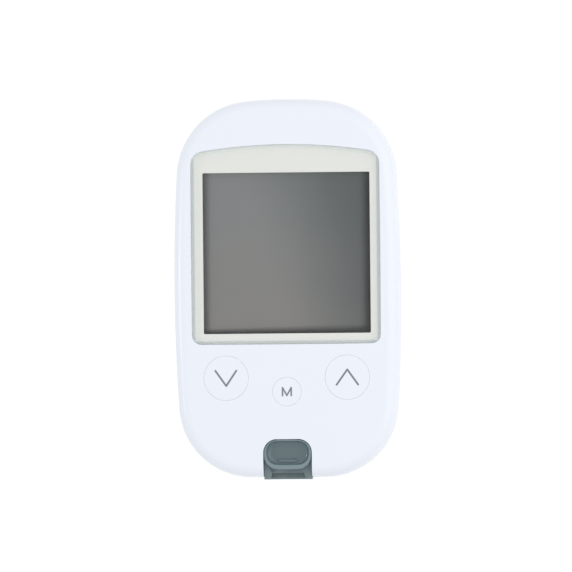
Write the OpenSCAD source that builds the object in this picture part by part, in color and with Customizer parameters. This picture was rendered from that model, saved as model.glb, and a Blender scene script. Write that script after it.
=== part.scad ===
// Blood glucose meter: two moulded covers around a display, three buttons, a strip port with an ejector
// and a battery bay behind a hooked door. X runs across the meter, Y along it with the strip port at -Y,
// and +Z points out of the face. The origin is the middle of the flat back. Millimetres.

/* [Body] */
// Width of the body at its widest, the seam between the covers
body_w = 59; // [58.6:0.2:64]
// Length of the body along its middle
body_l = 98.4; // [98.2:0.2:106]
// Thickness from the back to the face
body_t = 22; // [22:0.5:26]
// Radius of the bowed sides
side_r = 520; // [300:10:900]
// Radius of the arched display end
top_end_r = 115; // [90:1:160]
// Radius of the flatter strip end
low_end_r = 900; // [400:20:1400]
// Radius of the two corners at the display end
top_corner_r = 20; // [16:0.2:21]
// Radius of the two corners at the strip end
low_corner_r = 19; // [14:0.2:20]
// Wall of both covers
wall = 2; // [1.6:0.1:2.2]
// Radius of the rounded edge around the face
face_edge_r = 3; // [2:0.1:4]
// Radius of the rounded edge around the back
back_edge_r = 5.5; // [4:0.1:6]
// How far each side leans in from the seam to the rounded edge
side_draft = 0.45; // [0.2:0.05:0.8]
// Height of the seam above the back
seam_z = 11; // [9.5:0.1:11]
// Shadow gap between the covers at the seam
seam_gap = 0.16; // [0.1:0.02:0.3]
// Height of the lip that keys the covers together
lip_h = 1.5; // [1:0.1:1.8]
// Thickness of that lip
lip_t = 0.9; // [0.7:0.05:1]
// Clearance between pieces that plug together
fit = 0.1; // [0.06:0.02:0.14]

/* [Display] */
// Distance from each side of the body to the window
window_side = 4.65; // [4.2:0.05:5.8]
// Distance from the display end of the body to the window
window_margin = 11.7; // [11.5:0.1:13]
// Distance from the window to the strip end of the body
keypad_l = 34.7; // [34.4:0.1:36]
// Radius of the arched top edge of the window
window_arch_r = 163; // [120:1:240]
// Radius of the window's upper corners
window_top_corner = 3; // [1.8:0.1:4]
// Radius of the window's lower corners
window_low_corner = 2.4; // [1.8:0.1:4]
// Thickness of the clear lens
lens_t = 1.2; // [0.8:0.1:1.4]
// How far the lens lies below the face
lens_drop = 0.1; // [0.05:0.05:0.3]
// Width of the bevel around the lens
lens_bevel = 0.5; // [0.3:0.1:0.8]
// Width of the adhesive ring under the lens
gasket_w = 1.1; // [0.9:0.1:1.3]
// Thickness of the adhesive ring
gasket_t = 0.2; // [0.1:0.05:0.3]
// Wall of the rim that stands around the window inside the cover
rim_t = 1; // [0.7:0.1:1.2]
// Width of the cream frame beside the visible display
frame_side = 3.35; // [3:0.05:4.5]
// Width of the cream frame above it, along the middle
frame_top = 7.7; // [7.4:0.1:8.6]
// Width of the cream frame below it
frame_low = 2.9; // [2.6:0.1:4]
// Thickness of the cream frame
bezel_t = 0.8; // [0.6:0.1:1]
// Depth from the frame down to the display glass
view_depth = 0.65; // [0.4:0.05:0.8]
// Thickness of each of the two display glasses
glass_t = 1.1; // [0.7:0.1:1.2]
// Margin of glass around the visible display
glass_margin = 1.6; // [1.3:0.1:1.7]
// Height of the display above the circuit board
holder_h = 1.4; // [1.2:0.1:1.8]
// Wall of the tray around the glass
holder_wall = 0.9; // [0.6:0.1:1]
// Width of the elastomer connector
zebra_w = 1.2; // [0.8:0.1:1.3]
// Distance from each side of the visible display to the elastomer connector
zebra_inset = 1.5; // [0.5:0.1:4]

/* [Buttons] */
// Diameter of the two arrow buttons
side_button_d = 11.3; // [9:0.1:11.8]
// Distance of the arrow buttons from the middle line
side_button_x = 15.7; // [14.5:0.1:17.5]
// Distance from the window down to the arrow buttons' centres
side_button_drop = 8.7; // [8.2:0.1:9]
// Diameter of the middle button
memory_button_d = 7.2; // [6:0.1:8]
// Distance from the window down to the middle button's centre
memory_button_drop = 12.3; // [11.6:0.1:12.6]
// Gap around each button
button_gap = 0.14; // [0.12:0.02:0.3]
// How far each button goes in
button_travel = 0.5; // [0.3:0.05:0.6]
// Width of the flange that keeps a button in the cover
flange_w = 0.75; // [0.5:0.05:0.9]
// Thickness of that flange
flange_t = 0.8; // [0.5:0.1:0.9]
// Wall of the hollow caps
cap_wall = 1; // [0.7:0.1:1.2]
// Width of each square switch
switch_w = 6; // [5:0.2:6.4]
// Height of each switch body
switch_h = 2.4; // [2:0.1:2.6]
// Diameter of each switch plunger
plunger_d = 3; // [2.4:0.1:3.4]

/* [Strip port] */
// Width of the grey port
port_w = 12.4; // [11.6:0.1:12.8]
// Length of the port's opening in the face, to the end of the body
port_l = 10.1; // [9.6:0.1:10.4]
// How far the port stands out of the end of the body
port_proud = 0.4; // [0.2:0.1:0.8]
// Radius of the opening's inner corners
port_corner = 2.6; // [2:0.1:3]
// Width of the strip channel
strip_w = 7.2; // [6.4:0.1:7.4]
// Height of the strip channel
strip_h = 1.5; // [1:0.1:1.6]
// Width of the funnel at the channel's mouth
mouth_w = 9.2; // [8.8:0.1:10]
// Length of the funnel that is open upwards
mouth_l = 1.7; // [1.2:0.1:1.9]
// Length of the thumb bowl
pad_l = 7.7; // [7.2:0.1:7.9]
// Depth of the thumb bowl
bowl_depth = 1.3; // [0.8:0.1:1.4]
// How far the bowl's wall runs in from its rim to its floor
bowl_run = 1.6; // [1.2:0.1:2]
// How far the bowl lies towards the display, which widens its lower rim
bowl_shift = 0.15; // [0:0.05:0.15]
// Width of the rim around the thumb bowl
bowl_rim = 0.6; // [0.4:0.1:0.8]
// Length of the grip bar in the bowl
grip_l = 5.2; // [3:0.1:6]
// Diameter of the grip bar
grip_d = 1.1; // [0.8:0.1:1.2]
// How far the ejector slides
eject_travel = 2.5; // [1.5:0.1:2.6]
// Width of the ejector's arm
arm_w = 4.6; // [3.6:0.1:4.8]

/* [Battery bay] */
// Diameter of a cell
cell_d = 10.5; // [10:0.1:10.5]
// Length of a cell with its nub
cell_l = 44.5; // [43.5:0.1:44.8]
// Diameter of the nub
nub_d = 3.8; // [3:0.1:3.8]
// Height of the nub
nub_h = 1; // [0.8:0.1:1.2]
// Depth of the dished steel at both ends of a cell
cell_dish = 0.2; // [0.1:0.05:0.3]
// Gap between the cells
cell_gap = 0.4; // [0.3:0.1:0.8]
// Room around each cell
cell_room = 0.3; // [0.2:0.05:0.35]
// Length of each compressed spring
spring_l = 5.2; // [4.4:0.1:5.6]
// Diameter of the spring wire
wire_d = 0.6; // [0.4:0.05:0.7]
// Turns of each battery spring
spring_turns = 3.5; // [2.5:0.5:4]
// Thickness of the contact plates
plate_t = 0.4; // [0.3:0.05:0.5]
// Wall of the battery bay
bay_wall = 1.2; // [1:0.1:1.4]
// Distance of the bay's middle from the middle of the body
bay_y = 8; // [7.4:0.1:8.6]

/* [Battery door] */
// Thickness of the door
door_t = 1.6; // [1.2:0.1:1.7]
// How far the door lies below the back
door_drop = 0.1; // [0.05:0.05:0.3]
// Gap around the door
door_gap = 0.15; // [0.1:0.05:0.25]
// How far the door reaches past each side of the bay
door_overlap = 0.8; // [0.6:0.1:1.2]
// How far the door reaches past the hook end of the bay
hook_reach = 4.2; // [3.9:0.1:4.8]
// How far the door reaches past the latch end of the bay
latch_reach = 2.5; // [2.4:0.1:2.8]
// Radius of the door's corners
door_corner = 2; // [1:0.1:3]
// Width of each of the two hooks
hook_w = 4; // [3:0.1:4.4]
// Distance of each hook from the middle line
hook_x = 7; // [5.6:0.1:8]
// How far each hook reaches under the cover
hook_l = 1.4; // [1:0.1:1.6]
// Thickness of each hook
hook_t = 1.1; // [0.8:0.1:1.2]
// Width of the latch tongue
latch_w = 10; // [7:0.5:12]
// Height of the latch tongue above the door
latch_h = 4.3; // [3.6:0.1:5]

/* [Circuit board] */
// Thickness of the board
board_t = 1.2; // [0.8:0.1:1.2]
// Gap between the board and the covers
board_gap = 0.9; // [0.6:0.1:1.4]
// Diameter of the buzzer
buzzer_d = 10; // [8:0.5:11]
// Height of the buzzer
buzzer_h = 2.8; // [2:0.1:3]
// Width of the microcontroller
chip_w = 8; // [6:0.5:8]
// Length of the quartz crystal's can
crystal_l = 8; // [6:0.5:8]
// Length of the small chip parts
chip_part_l = 2; // [1.6:0.1:2.2]

/* [Screws] */
// Diameter of the case screws
case_screw_d = 2.2; // [2:0.1:2.3]
// Length of the case screws under their heads
case_screw_l = 10.2; // [9.6:0.1:11]
// Diameter of the case screws' heads
case_head_d = 4; // [3.6:0.1:4.2]
// Height of the case screws' heads
case_head_h = 1.4; // [1:0.1:1.6]
// Depth of the screw seats in the back
seat_depth = 3; // [2.6:0.1:3.4]
// Diameter of the bosses that take the case screws
boss_d = 5.4; // [5:0.1:5.6]
// Diameter of the board screws
board_screw_d = 1.6; // [1.4:0.1:1.8]
// Length of the board screws under their heads
board_screw_l = 4.6; // [3.6:0.1:4.8]
// Diameter of the board screws' heads
board_head_d = 3; // [2.6:0.1:3.4]
// Diameter of the standoffs that carry the board
standoff_d = 4.2; // [3.8:0.1:4.4]

/* [Hidden] */

$fn = 48;
half_l = body_l / 2;
ceiling_z = body_t - wall;
floor_z = wall;
front_seam_z = seam_z + seam_gap / 2;
rear_seam_z = seam_z - seam_gap / 2;
rebate = wall - lip_t;
face_fillet_r = face_edge_r - wall / 2;
back_fillet_r = back_edge_r - wall;
straight_r = 4000;
beyond = 2;
sunk = 0.5;

// Display stack, from the face down
window_w = body_w - 2 * window_side;
window_top_y = half_l - window_margin;
window_low_y = -half_l + keypad_l;
window_l = window_top_y - window_low_y;
window_y = (window_top_y + window_low_y) / 2;
view_w = window_w - 2 * frame_side;
view_top_y = window_top_y - frame_top;
view_low_y = window_low_y + frame_low;
zebra_l = view_w - 2 * zebra_inset;
lens_z = body_t - lens_drop - lens_t;
ledge_z = lens_z - gasket_t;
rim_z = ledge_z - 1.7;
bezel_top_z = lens_z - 0.05;
glass_top_z = bezel_top_z - bezel_t - view_depth;
glass_mid_z = glass_top_z - glass_t;
glass_low_z = glass_mid_z - glass_t;
board_top_z = glass_low_z - holder_h;
board_z = board_top_z - board_t;
glass_w = view_w + 2 * glass_margin;
glass_top_y = view_top_y + glass_margin;
glass_low_y = view_low_y - zebra_w - 0.3;

// Buttons and switches
side_button_y = window_low_y - side_button_drop;
memory_button_y = window_low_y - memory_button_drop;
flange_top_z = ceiling_z - fit;
flange_low_z = flange_top_z - flange_t;
switch_top_z = board_top_z + switch_h;
plunger_top_z = switch_top_z + button_travel + 0.05;
plunger_low_z = switch_top_z - 0.5;
plunger_gap = 0.15;
stem_d = 4.2;

// Strip port, ejector and connector
port_y = -half_l + port_l;
port_end_y = -half_l - port_proud;
port_z = front_seam_z + lip_h + fit + 0.5;
deck_z = body_t - 2.4;
arm_z = deck_z - 0.7;
arm_t = 0.85;
arm_room = 0.05;
channel_z = board_top_z + 0.9;
channel_top_z = channel_z + strip_h;
port_flange_w = port_w + 3.2;
port_flange_y = -half_l + wall + side_draft + 0.45;
port_back_y = port_y - 0.2;
pad_gap = 0.15;
pad_w = port_w - 0.1;
pad_top_y = port_y - pad_gap;
pad_y = pad_top_y - pad_l / 2;
pad_z = deck_z + arm_room;
pad_top_z = body_t - 0.1;
pad_tilt = 0.06;
pad_corner = port_corner + 0.2;
grip_y = pad_top_y - pad_l + 1.85;
connector_w = 8.8;
connector_y = port_back_y + 0.3;
connector_l = 6.4;
connector_top_z = arm_z - 0.2;
finger_w = 1.8;
finger_t = 1;
finger_y = port_back_y + 4.9;
spring_x = connector_w / 2 + 1.75;
eject_spring_d = 2.9;
eject_wire_d = 0.34;
eject_turns = 5;
eject_spring_z = arm_z - 0.95;
contact_pitch = 1.2;
contact_w = 0.6;

// Battery bay
cell_x = (cell_d + cell_gap) / 2;
cell_z = door_drop + door_t + 0.4 + cell_d / 2;
bay_w = 2 * cell_x + cell_d + 2 * cell_room;
bay_l = cell_l + spring_l + 2 * plate_t + 0.1;
bay_low_y = bay_y - bay_l / 2;
bay_top_y = bay_y + bay_l / 2;
bay_roof_z = cell_z + cell_d / 2 + cell_room - 0.1;
bay_roof_t = 1;
plate_w = cell_d - 1.6;
plate_sink = 0.3;
tab_w = 2.4;
spring_inset = 1.7;
spring_taper = 0.9;

// Battery door
door_w = bay_w + 2 * bay_wall + 2 * door_overlap;
door_low_y = bay_low_y - bay_wall - hook_reach;
door_top_y = bay_top_y + bay_wall + latch_reach;
door_top_z = door_drop + door_t;
rebate_z = door_top_z + 0.2;
plinth_z = rebate_z + 1.4;
plinth_side = 1.3;
hook_z = floor_z + fit;
tongue_t = 0.8;
tongue_y = door_top_y - 1.7;
nose_z = door_top_z + 0.7;
grooves = 5;
groove_pitch = 1.6;
groove_w = 0.6;
groove_depth = 0.35;

// Screws: case bosses and board standoffs as [x, y]
boss_gap = 0.05;
boss_z = seam_z + 0.5;
top_boss_x = body_w / 2 - 13.3;
top_boss_y = half_l - 8.2;
low_boss_x = body_w / 2 - 9.5;
low_boss_y = -half_l + 12.2;
case_points = [
    [top_boss_x, top_boss_y], [-top_boss_x, top_boss_y],
    [low_boss_x, low_boss_y], [-low_boss_x, low_boss_y]];
top_standoff_y = half_l - 8.4;
low_standoff_x = 9.6;
low_standoff_y = memory_button_y - 3.8;
standoff_points = [
    [0, top_standoff_y],
    [low_standoff_x, low_standoff_y], [-low_standoff_x, low_standoff_y]];
board_low_y = port_y + 6.3;
board_top_y = window_top_y - 1;
tongue_top_y = top_standoff_y + standoff_d / 2 + board_gap;

// Room under the board for its parts: beside the battery bay, and beyond the bay's lower end
beside_x = bay_w / 2 + bay_wall + 0.8;
beside_y = bay_y - 14;
beyond_y = bay_low_y - bay_wall - 1;

// ---- outlines and solids that the pieces share ----

// Points of an arc about c, from angle t0 up to, but not at, t1
function arc(c, r, t0, t1, n) =
    [for (i = [0:n - 1]) c + r * [cos(t0 + (t1 - t0) * i / n), sin(t0 + (t1 - t0) * i / n)]];

// Centre of the corner arc that touches a side arc and an end arc from inside
function corner_centre(a, b, rs, re, rc) =
    let (p = [a - rs, 0], v = [rs - a, b - re], d = norm(v),
        k = ((rs - rc) ^ 2 - (re - rc) ^ 2 + d ^ 2) / (2 * d),
        h = sqrt((rs - rc) ^ 2 - k ^ 2))
    p + v * (k / d) + [-v[1], v[0]] * (h / d);

// A quarter outline in three arcs, from [a, 0] to [0, b], without its last point
function quarter(a, b, rs, re, rc, n) =
    let (c = corner_centre(a, b, rs, re, rc),
        t1 = atan2(c[1], c[0] - a + rs), t2 = atan2(c[1] - b + re, c[0]))
    concat(arc([a - rs, 0], rs, 0, t1, n[0]), arc(c, rc, t1, t2, n[1]),
        arc([0, b - re], re, t2, 90, n[2]));

function flip_x(points) = [for (p = points) [-p[0], p[1]]];
function flip_y(points) = [for (p = points) [p[0], -p[1]]];

// The same quarter walked the other way: from [0, b] to [a, 0], without its last point
function back_quarter(a, b, rs, re, rc, n) =
    let (q = quarter(a, b, rs, re, rc, n), m = len(q))
    concat([[0, b]], [for (i = [1:m - 1]) q[m - i]]);

// A closed outline with bowed sides and arched ends: half width a, half length b, side radius rs,
// end radii re and corner radii rc as [top, low], n points along each side, corner and end
function outline(a, b, rs, re, rc, n) =
    concat(quarter(a, b, rs, re[0], rc[0], n),
        flip_x(back_quarter(a, b, rs, re[0], rc[0], n)),
        flip_x(flip_y(quarter(a, b, rs, re[1], rc[1], n))),
        flip_y(back_quarter(a, b, rs, re[1], rc[1], n)));

// The body's outline, set in by d
function body_outline(d) =
    outline(body_w / 2 - d, half_l - d, side_r - d, [top_end_r - d, low_end_r - d],
        [top_corner_r - d, low_corner_r - d], [4, 9, 5]);

// The window's outline, set in by d
function window_outline(d) =
    let (edge = 0.3)
    [for (p = outline(window_w / 2 - d, window_l / 2 - d, straight_r - d,
            [window_arch_r - d, straight_r - d],
            [max(window_top_corner - d, edge), max(window_low_corner - d, edge)], [1, 5, 4]))
        p + [0, window_y]];

// A rectangle between two y values, with round corners
function round_rect(w, y0, y1, r) =
    concat(arc([w / 2 - r, y1 - r], r, 0, 90, 6), [[w / 2 - r, y1]],
        arc([r - w / 2, y1 - r], r, 90, 180, 6), [[-w / 2, y1 - r]],
        arc([r - w / 2, y0 + r], r, 180, 270, 6), [[r - w / 2, y0]],
        arc([w / 2 - r, y0 + r], r, 270, 360, 6), [[w / 2, y0 + r]]);

function at_z(points, z) = [for (p = points) [p[0], p[1], z]];

// A closed solid through rings of equal length, with its first and last rings capped
module loft(rings) {
    n = len(rings[0]);
    m = len(rings);
    polyhedron(
        points = [for (ring = rings) each ring],
        faces = concat(
            [[for (i = [0:n - 1]) i]],
            [for (j = [0:m - 2]) for (i = [0:n - 1]) let (a = j * n + i, b = j * n + (i + 1) % n)
                each [[a, a + n, b + n], [a, b + n, b]]],
            [[for (i = [n - 1:-1:0]) (m - 1) * n + i]]));
}

module plate(points, z0, z1) {
    translate([0, 0, z0]) linear_extrude(z1 - z0) polygon(points);
}

module box(x0, x1, y0, y1, z0, z1) {
    translate([x0, y0, z0]) cube([x1 - x0, y1 - y0, z1 - z0]);
}

module post(p, d, z0, z1) {
    translate([p[0], p[1], z0]) cylinder(d = d, h = z1 - z0);
}

// A shape drawn in Y and Z, extruded across the meter
module across(points, x0, x1) {
    translate([x0, 0, 0]) rotate([90, 0, 90]) linear_extrude(x1 - x0) polygon(points);
}

// A wire wound about the Y axis from y0 to y1, with its mean radius going from r0 to r1
module coil(y0, y1, r0, r1, turns, wire, steps) {
    n = round(turns * steps);
    sides = 6;
    span = y1 - y0 - wire;
    loft([for (i = [0:n])
        let (f = i / n, t = 360 * turns * f, r = r0 + (r1 - r0) * f, y = y0 + wire / 2 + span * f)
        [for (k = [0:sides - 1])
            let (s = -360 * k / sides, q = r + wire / 2 * cos(s))
            [q * cos(t), y + wire / 2 * sin(s), -q * sin(t)]]]);
}

// ---- covers ----

module port_notch(w, r, z0, z1) {
    plate(round_rect(w, -half_l - beyond - r, port_y, r), z0, z1);
}

module front_cover() {
    edge = [for (t = [0:15:90])
        [side_draft + face_edge_r * (1 - cos(t)), body_t - face_edge_r * (1 - sin(t))]];
    inside = [for (t = [90:-30:0])
        [side_draft + wall + face_fillet_r * (1 - cos(t)), ceiling_z - face_fillet_r * (1 - sin(t))]];
    profile = concat(inside, [
        [wall, front_seam_z + lip_h + fit], [rebate, front_seam_z + lip_h + fit],
        [rebate, front_seam_z], [0, front_seam_z]], edge);
    color("white") difference() {
        union() {
            loft([for (p = profile) at_z(body_outline(p[0]), p[1])]);
            plate(window_outline(-rim_t), rim_z, ceiling_z + sunk);
            for (p = case_points) post(p, boss_d, boss_z + boss_gap, ceiling_z + sunk);
            for (p = standoff_points) post(p, standoff_d, board_top_z, ceiling_z + sunk);
        }
        plate(window_outline(0), ledge_z, body_t + beyond);
        plate(window_outline(gasket_w), rim_z - beyond, ledge_z + sunk);
        for (x = [-side_button_x, side_button_x])
            post([x, side_button_y], side_button_d + 2 * button_gap, ceiling_z - beyond, body_t + beyond);
        post([0, memory_button_y], memory_button_d + 2 * button_gap, ceiling_z - beyond, body_t + beyond);
        port_notch(port_w + 2 * fit, port_corner, port_z - fit, body_t + beyond);
        for (p = case_points) post(p, case_screw_d + 0.04, boss_z - beyond, seat_depth + case_screw_l + 1);
        for (p = standoff_points) post(p, board_screw_d + 0.04, board_top_z - beyond, ceiling_z - 0.4);
    }
}

module rear_cover() {
    edge = [for (t = [0:15:90]) [side_draft + back_edge_r * (1 - sin(t)), back_edge_r * (1 - cos(t))]];
    inside = [for (t = [0:30:90])
        [side_draft + wall + back_fillet_r * (1 - cos(t)), floor_z + back_fillet_r * (1 - sin(t))]];
    profile = concat(edge, [
        [0, rear_seam_z], [rebate + fit, rear_seam_z], [rebate + fit, rear_seam_z + lip_h],
        [wall, rear_seam_z + lip_h]], inside);
    rebate_w = door_w + 2 * door_gap;
    color("whitesmoke") difference() {
        union() {
            loft([for (p = profile) at_z(body_outline(p[0]), p[1])]);
            plate(round_rect(rebate_w + 2 * plinth_side, door_low_y - hook_l - plinth_side,
                door_top_y + door_gap + plinth_side, door_corner), sunk, plinth_z);
            box(-bay_w / 2 - bay_wall, bay_w / 2 + bay_wall, bay_low_y - bay_wall, bay_top_y + bay_wall,
                sunk, bay_roof_z + bay_roof_t);
            for (p = case_points) post(p, boss_d + 1, sunk, boss_z);
            cover_ribs();
        }
        plate(round_rect(rebate_w, door_low_y - door_gap, door_top_y + door_gap, door_corner + door_gap),
            -beyond, rebate_z);
        box(-bay_w / 2, bay_w / 2, bay_low_y, bay_top_y, -beyond, bay_roof_z);
        contact_slots();
        hook_slots();
        box(-latch_w / 2 - 0.3, latch_w / 2 + 0.3, bay_top_y + bay_wall + 0.2, door_top_y + door_gap,
            rebate_z - sunk, plinth_z + beyond);
        for (p = case_points) {
            post(p, case_head_d + 0.8, -beyond, seat_depth);
            post(p, case_screw_d + 0.3, seat_depth - sunk, boss_z + beyond);
        }
        thumb_scoop();
    }
}

// Stiffening ribs from the battery bay out to the side walls
module cover_ribs() {
    root_x = bay_w / 2 + bay_wall - 0.3;
    tip_x = body_w / 2 - wall - 0.5;
    foot = back_edge_r + 2;
    for (side = [-1, 1], y = [bay_y - 18, bay_y, bay_y + 16])
        translate([0, y + 0.5, 0]) rotate([90, 0, 0]) linear_extrude(1)
            polygon([for (p = [[root_x, sunk + 0.4], [body_w / 2 - foot, sunk + 0.4], [tip_x, 3.4],
                [tip_x, 6.5], [root_x, 6.5]]) [side * p[0], p[1]]]);
}

// Pockets in the bay's end walls that hold the contact plates, with slots for their tabs
module contact_slots() {
    slot_w = plate_w + 0.3;
    depth = plate_sink + 0.05;
    for (side = [-1, 1])
        box(side * cell_x - slot_w / 2, side * cell_x + slot_w / 2, bay_low_y - depth, bay_low_y + sunk,
            rebate_z - sunk, bay_roof_z);
    box(-cell_x - slot_w / 2, cell_x + slot_w / 2, bay_top_y - sunk, bay_top_y + depth,
        rebate_z - sunk, bay_roof_z);
    for (side = [-1, 1])
        box(side * cell_x - tab_w / 2 - 0.2, side * cell_x + tab_w / 2 + 0.2, bay_low_y - depth,
            bay_low_y + plate_t, bay_roof_z - sunk, bay_roof_z + bay_roof_t + beyond);
}

module hook_slots() {
    for (side = [-1, 1]) {
        x0 = side * hook_x - hook_w / 2 - 0.3;
        x1 = side * hook_x + hook_w / 2 + 0.3;
        box(x0, x1, door_low_y - hook_l - 0.3, door_low_y, floor_z, plinth_z + beyond);
        box(x0, x1, door_low_y - door_gap, door_low_y + 3.2, rebate_z - sunk, plinth_z + beyond);
    }
}

// A hollow in the back that lets a thumb reach the latch
module thumb_scoop() {
    scoop_r = 12;
    scoop_depth = 1;
    translate([0, door_top_y + door_gap + 2.6, scoop_depth - scoop_r]) sphere(r = scoop_r);
}

// ---- display ----

module display_window() {
    top_z = lens_z + lens_t;
    rings = [[fit, lens_z], [fit, top_z - lens_bevel / 2], [fit + lens_bevel / 3, top_z - lens_bevel / 8],
        [fit + lens_bevel, top_z]];
    color("lightcyan", 0.4) loft([for (p = rings) at_z(window_outline(p[0]), p[1])]);
}

module window_gasket() {
    color("darkgray") difference() {
        plate(window_outline(fit), ledge_z, lens_z);
        plate(window_outline(gasket_w), ledge_z - beyond, lens_z + beyond);
    }
}

module display_bezel() {
    skirt = 1;
    corner = 0.5;
    color("beige") difference() {
        union() {
            plate(window_outline(gasket_w + fit), bezel_top_z - bezel_t, bezel_top_z);
            plate(round_rect(view_w + 2 * skirt, view_low_y - skirt, view_top_y + skirt, skirt),
                glass_top_z, bezel_top_z - bezel_t / 2);
        }
        plate(round_rect(view_w, view_low_y, view_top_y, corner), glass_top_z - beyond, bezel_top_z + beyond);
    }
}

module lcd_panel() {
    color("dimgray") {
        box(-glass_w / 2, glass_w / 2, glass_low_y, glass_top_y, glass_mid_z, glass_top_z);
        box(-glass_w / 2, glass_w / 2, glass_low_y + zebra_w + 0.2, glass_top_y, glass_low_z, glass_mid_z);
    }
}

module lcd_holder() {
    ledge = 2.2;
    pocket_w = glass_w + 2 * fit;
    outer_w = pocket_w + 2 * holder_wall;
    low_y = glass_low_y - fit;
    top_y = glass_top_y + fit;
    color("gainsboro") difference() {
        plate(round_rect(outer_w, low_y - holder_wall, top_y + holder_wall, holder_wall),
            board_top_z, glass_top_z - 0.6);
        box(-pocket_w / 2, pocket_w / 2, low_y, top_y, glass_low_z, glass_top_z);
        box(-glass_w / 2 + ledge, glass_w / 2 - ledge, view_low_y + ledge, glass_top_y - ledge,
            board_top_z - beyond, glass_top_z);
        box(-zebra_l / 2 - fit, zebra_l / 2 + fit, glass_low_y - fit, glass_low_y + zebra_w + fit,
            board_top_z - beyond, glass_top_z);
    }
}

module zebra_strip() {
    color("darkslategray")
        box(-zebra_l / 2, zebra_l / 2, glass_low_y, glass_low_y + zebra_w, board_top_z, glass_mid_z);
}

// ---- circuit board ----

module circuit_board() {
    tongue_w = 15;
    corner = 1.5;
    color("seagreen") difference() {
        intersection() {
            plate(body_outline(wall + side_draft + board_gap), board_z, board_top_z);
            union() {
                box(-body_w / 2, body_w / 2, board_low_y, board_top_y, board_z - sunk, board_top_z + sunk);
                plate(round_rect(tongue_w, port_back_y + 0.4, board_low_y + 2 * corner, corner),
                    board_z - sunk, board_top_z + sunk);
                plate(round_rect(tongue_w - 2, board_top_y - 2 * corner, tongue_top_y, corner),
                    board_z - sunk, board_top_z + sunk);
            }
        }
        for (p = standoff_points) post(p, board_screw_d + 0.3, board_z - beyond, board_top_z + beyond);
        for (side = [-1, 1])
            box(side * cell_x - tab_w / 2 - 0.1, side * cell_x + tab_w / 2 + 0.1,
                bay_low_y - plate_sink - 0.05, bay_low_y - plate_sink + plate_t + 0.05,
                board_z - beyond, board_top_z + beyond);
    }
}

module microcontroller() {
    chip_h = 1.2;
    lead_w = 0.3;
    lead_pitch = 0.8;
    lead_reach = 0.9;
    leads = floor(chip_w / lead_pitch) - 1;
    z0 = board_z - chip_h;
    color("black") translate([beside_x + lead_reach + chip_w / 2, beside_y, 0]) {
        box(-chip_w / 2, chip_w / 2, -chip_w / 2, chip_w / 2, z0 - 0.1, board_z - 0.1);
        for (turn = [0:90:270], i = [0:leads - 1])
            rotate([0, 0, turn]) translate([chip_w / 2 - 0.1, (i - (leads - 1) / 2) * lead_pitch, 0]) {
                box(0, 0.5, -lead_w / 2, lead_w / 2, z0 + 0.5, z0 + 0.7);
                box(0.35, 0.5, -lead_w / 2, lead_w / 2, z0 + 0.5, board_z);
                box(0.35, lead_reach, -lead_w / 2, lead_w / 2, board_z - 0.15, board_z);
            }
    }
}

// Small capacitors and a quartz crystal beyond the bay, and transistors beside it
module board_parts() {
    w = chip_part_l * 0.6;
    pitch = chip_part_l + 0.8;
    crystal_w = crystal_l * 0.375;
    crystal_h = crystal_w * 0.6;
    h = w * 0.8;
    color("tan") for (i = [0:3])
        box(-i * pitch - chip_part_l, -i * pitch, beyond_y - w, beyond_y, board_z - h, board_z);
    color("silver") plate([for (p = round_rect(crystal_w, -crystal_l, 0, crystal_w * 0.45))
        p + [crystal_w / 2, beyond_y - w - 0.8]], board_z - crystal_h, board_z);
    color("black") for (i = [0:2])
        box(beside_x + (i + 0.4) * pitch, beside_x + (i + 0.4) * pitch + chip_part_l, bay_y, bay_y + w,
            board_z - h, board_z);
}

module buzzer() {
    p = [-beside_x - buzzer_d / 2, beside_y];
    color("black") difference() {
        post(p, buzzer_d, board_z - buzzer_h, board_z);
        post(p, buzzer_d / 5, board_z - buzzer_h - beyond, board_z - buzzer_h + 1);
    }
}

// ---- buttons ----

// A hollow cap with its flange, a stem that meets the switch and four ribs between them
module button(p, d) {
    edge = 0.25;
    cavity_d = d - 2 * cap_wall;
    roof_z = body_t - cap_wall;
    color("white") translate([p[0], p[1], 0]) {
        rotate_extrude() polygon([
            [cavity_d / 2, flange_low_z], [d / 2 + flange_w, flange_low_z], [d / 2 + flange_w, flange_top_z],
            [d / 2, flange_top_z], [d / 2, body_t - edge], [d / 2 - edge, body_t], [0, body_t],
            [0, roof_z], [cavity_d / 2, roof_z]]);
        translate([0, 0, plunger_top_z]) cylinder(d = stem_d, h = roof_z - plunger_top_z + sunk);
        intersection() {
            union() for (turn = [0, 90]) rotate([0, 0, turn])
                box(-d / 2, d / 2, -0.4, 0.4, flange_low_z + 0.4, roof_z + sunk);
            translate([0, 0, flange_low_z]) cylinder(d = cavity_d + 0.4, h = roof_z - flange_low_z + sunk);
        }
    }
}

module switch_base(p) {
    pin_w = 0.8;
    color("dimgray") difference() {
        translate([p[0], p[1], 0]) {
            box(-switch_w / 2, switch_w / 2, -switch_w / 2, switch_w / 2, board_top_z, switch_top_z);
            for (sx = [-1, 1], sy = [-1, 1])
                box(sx * (switch_w / 2 + 0.4) - 0.5, sx * (switch_w / 2 + 0.4) + 0.5,
                    sy * switch_w / 3 - pin_w / 2, sy * switch_w / 3 + pin_w / 2,
                    board_top_z, board_top_z + 0.2);
        }
        post(p, plunger_d + 2 * plunger_gap, plunger_low_z - button_travel - 0.1, switch_top_z + beyond);
    }
}

module plunger(p) {
    color("black") post(p, plunger_d, plunger_low_z, plunger_top_z);
}

down_place = [-side_button_x, side_button_y];
up_place = [side_button_x, side_button_y];
memory_place = [0, memory_button_y];

module down_button() { button(down_place, side_button_d); }
module up_button() { button(up_place, side_button_d); }
module memory_button() { button(memory_place, memory_button_d); }
module down_switch() { switch_base(down_place); }
module up_switch() { switch_base(up_place); }
module memory_switch() { switch_base(memory_place); }
module down_plunger() { plunger(down_place); }
module up_plunger() { plunger(up_place); }
module memory_plunger() { plunger(memory_place); }

// ---- strip port ----

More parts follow.
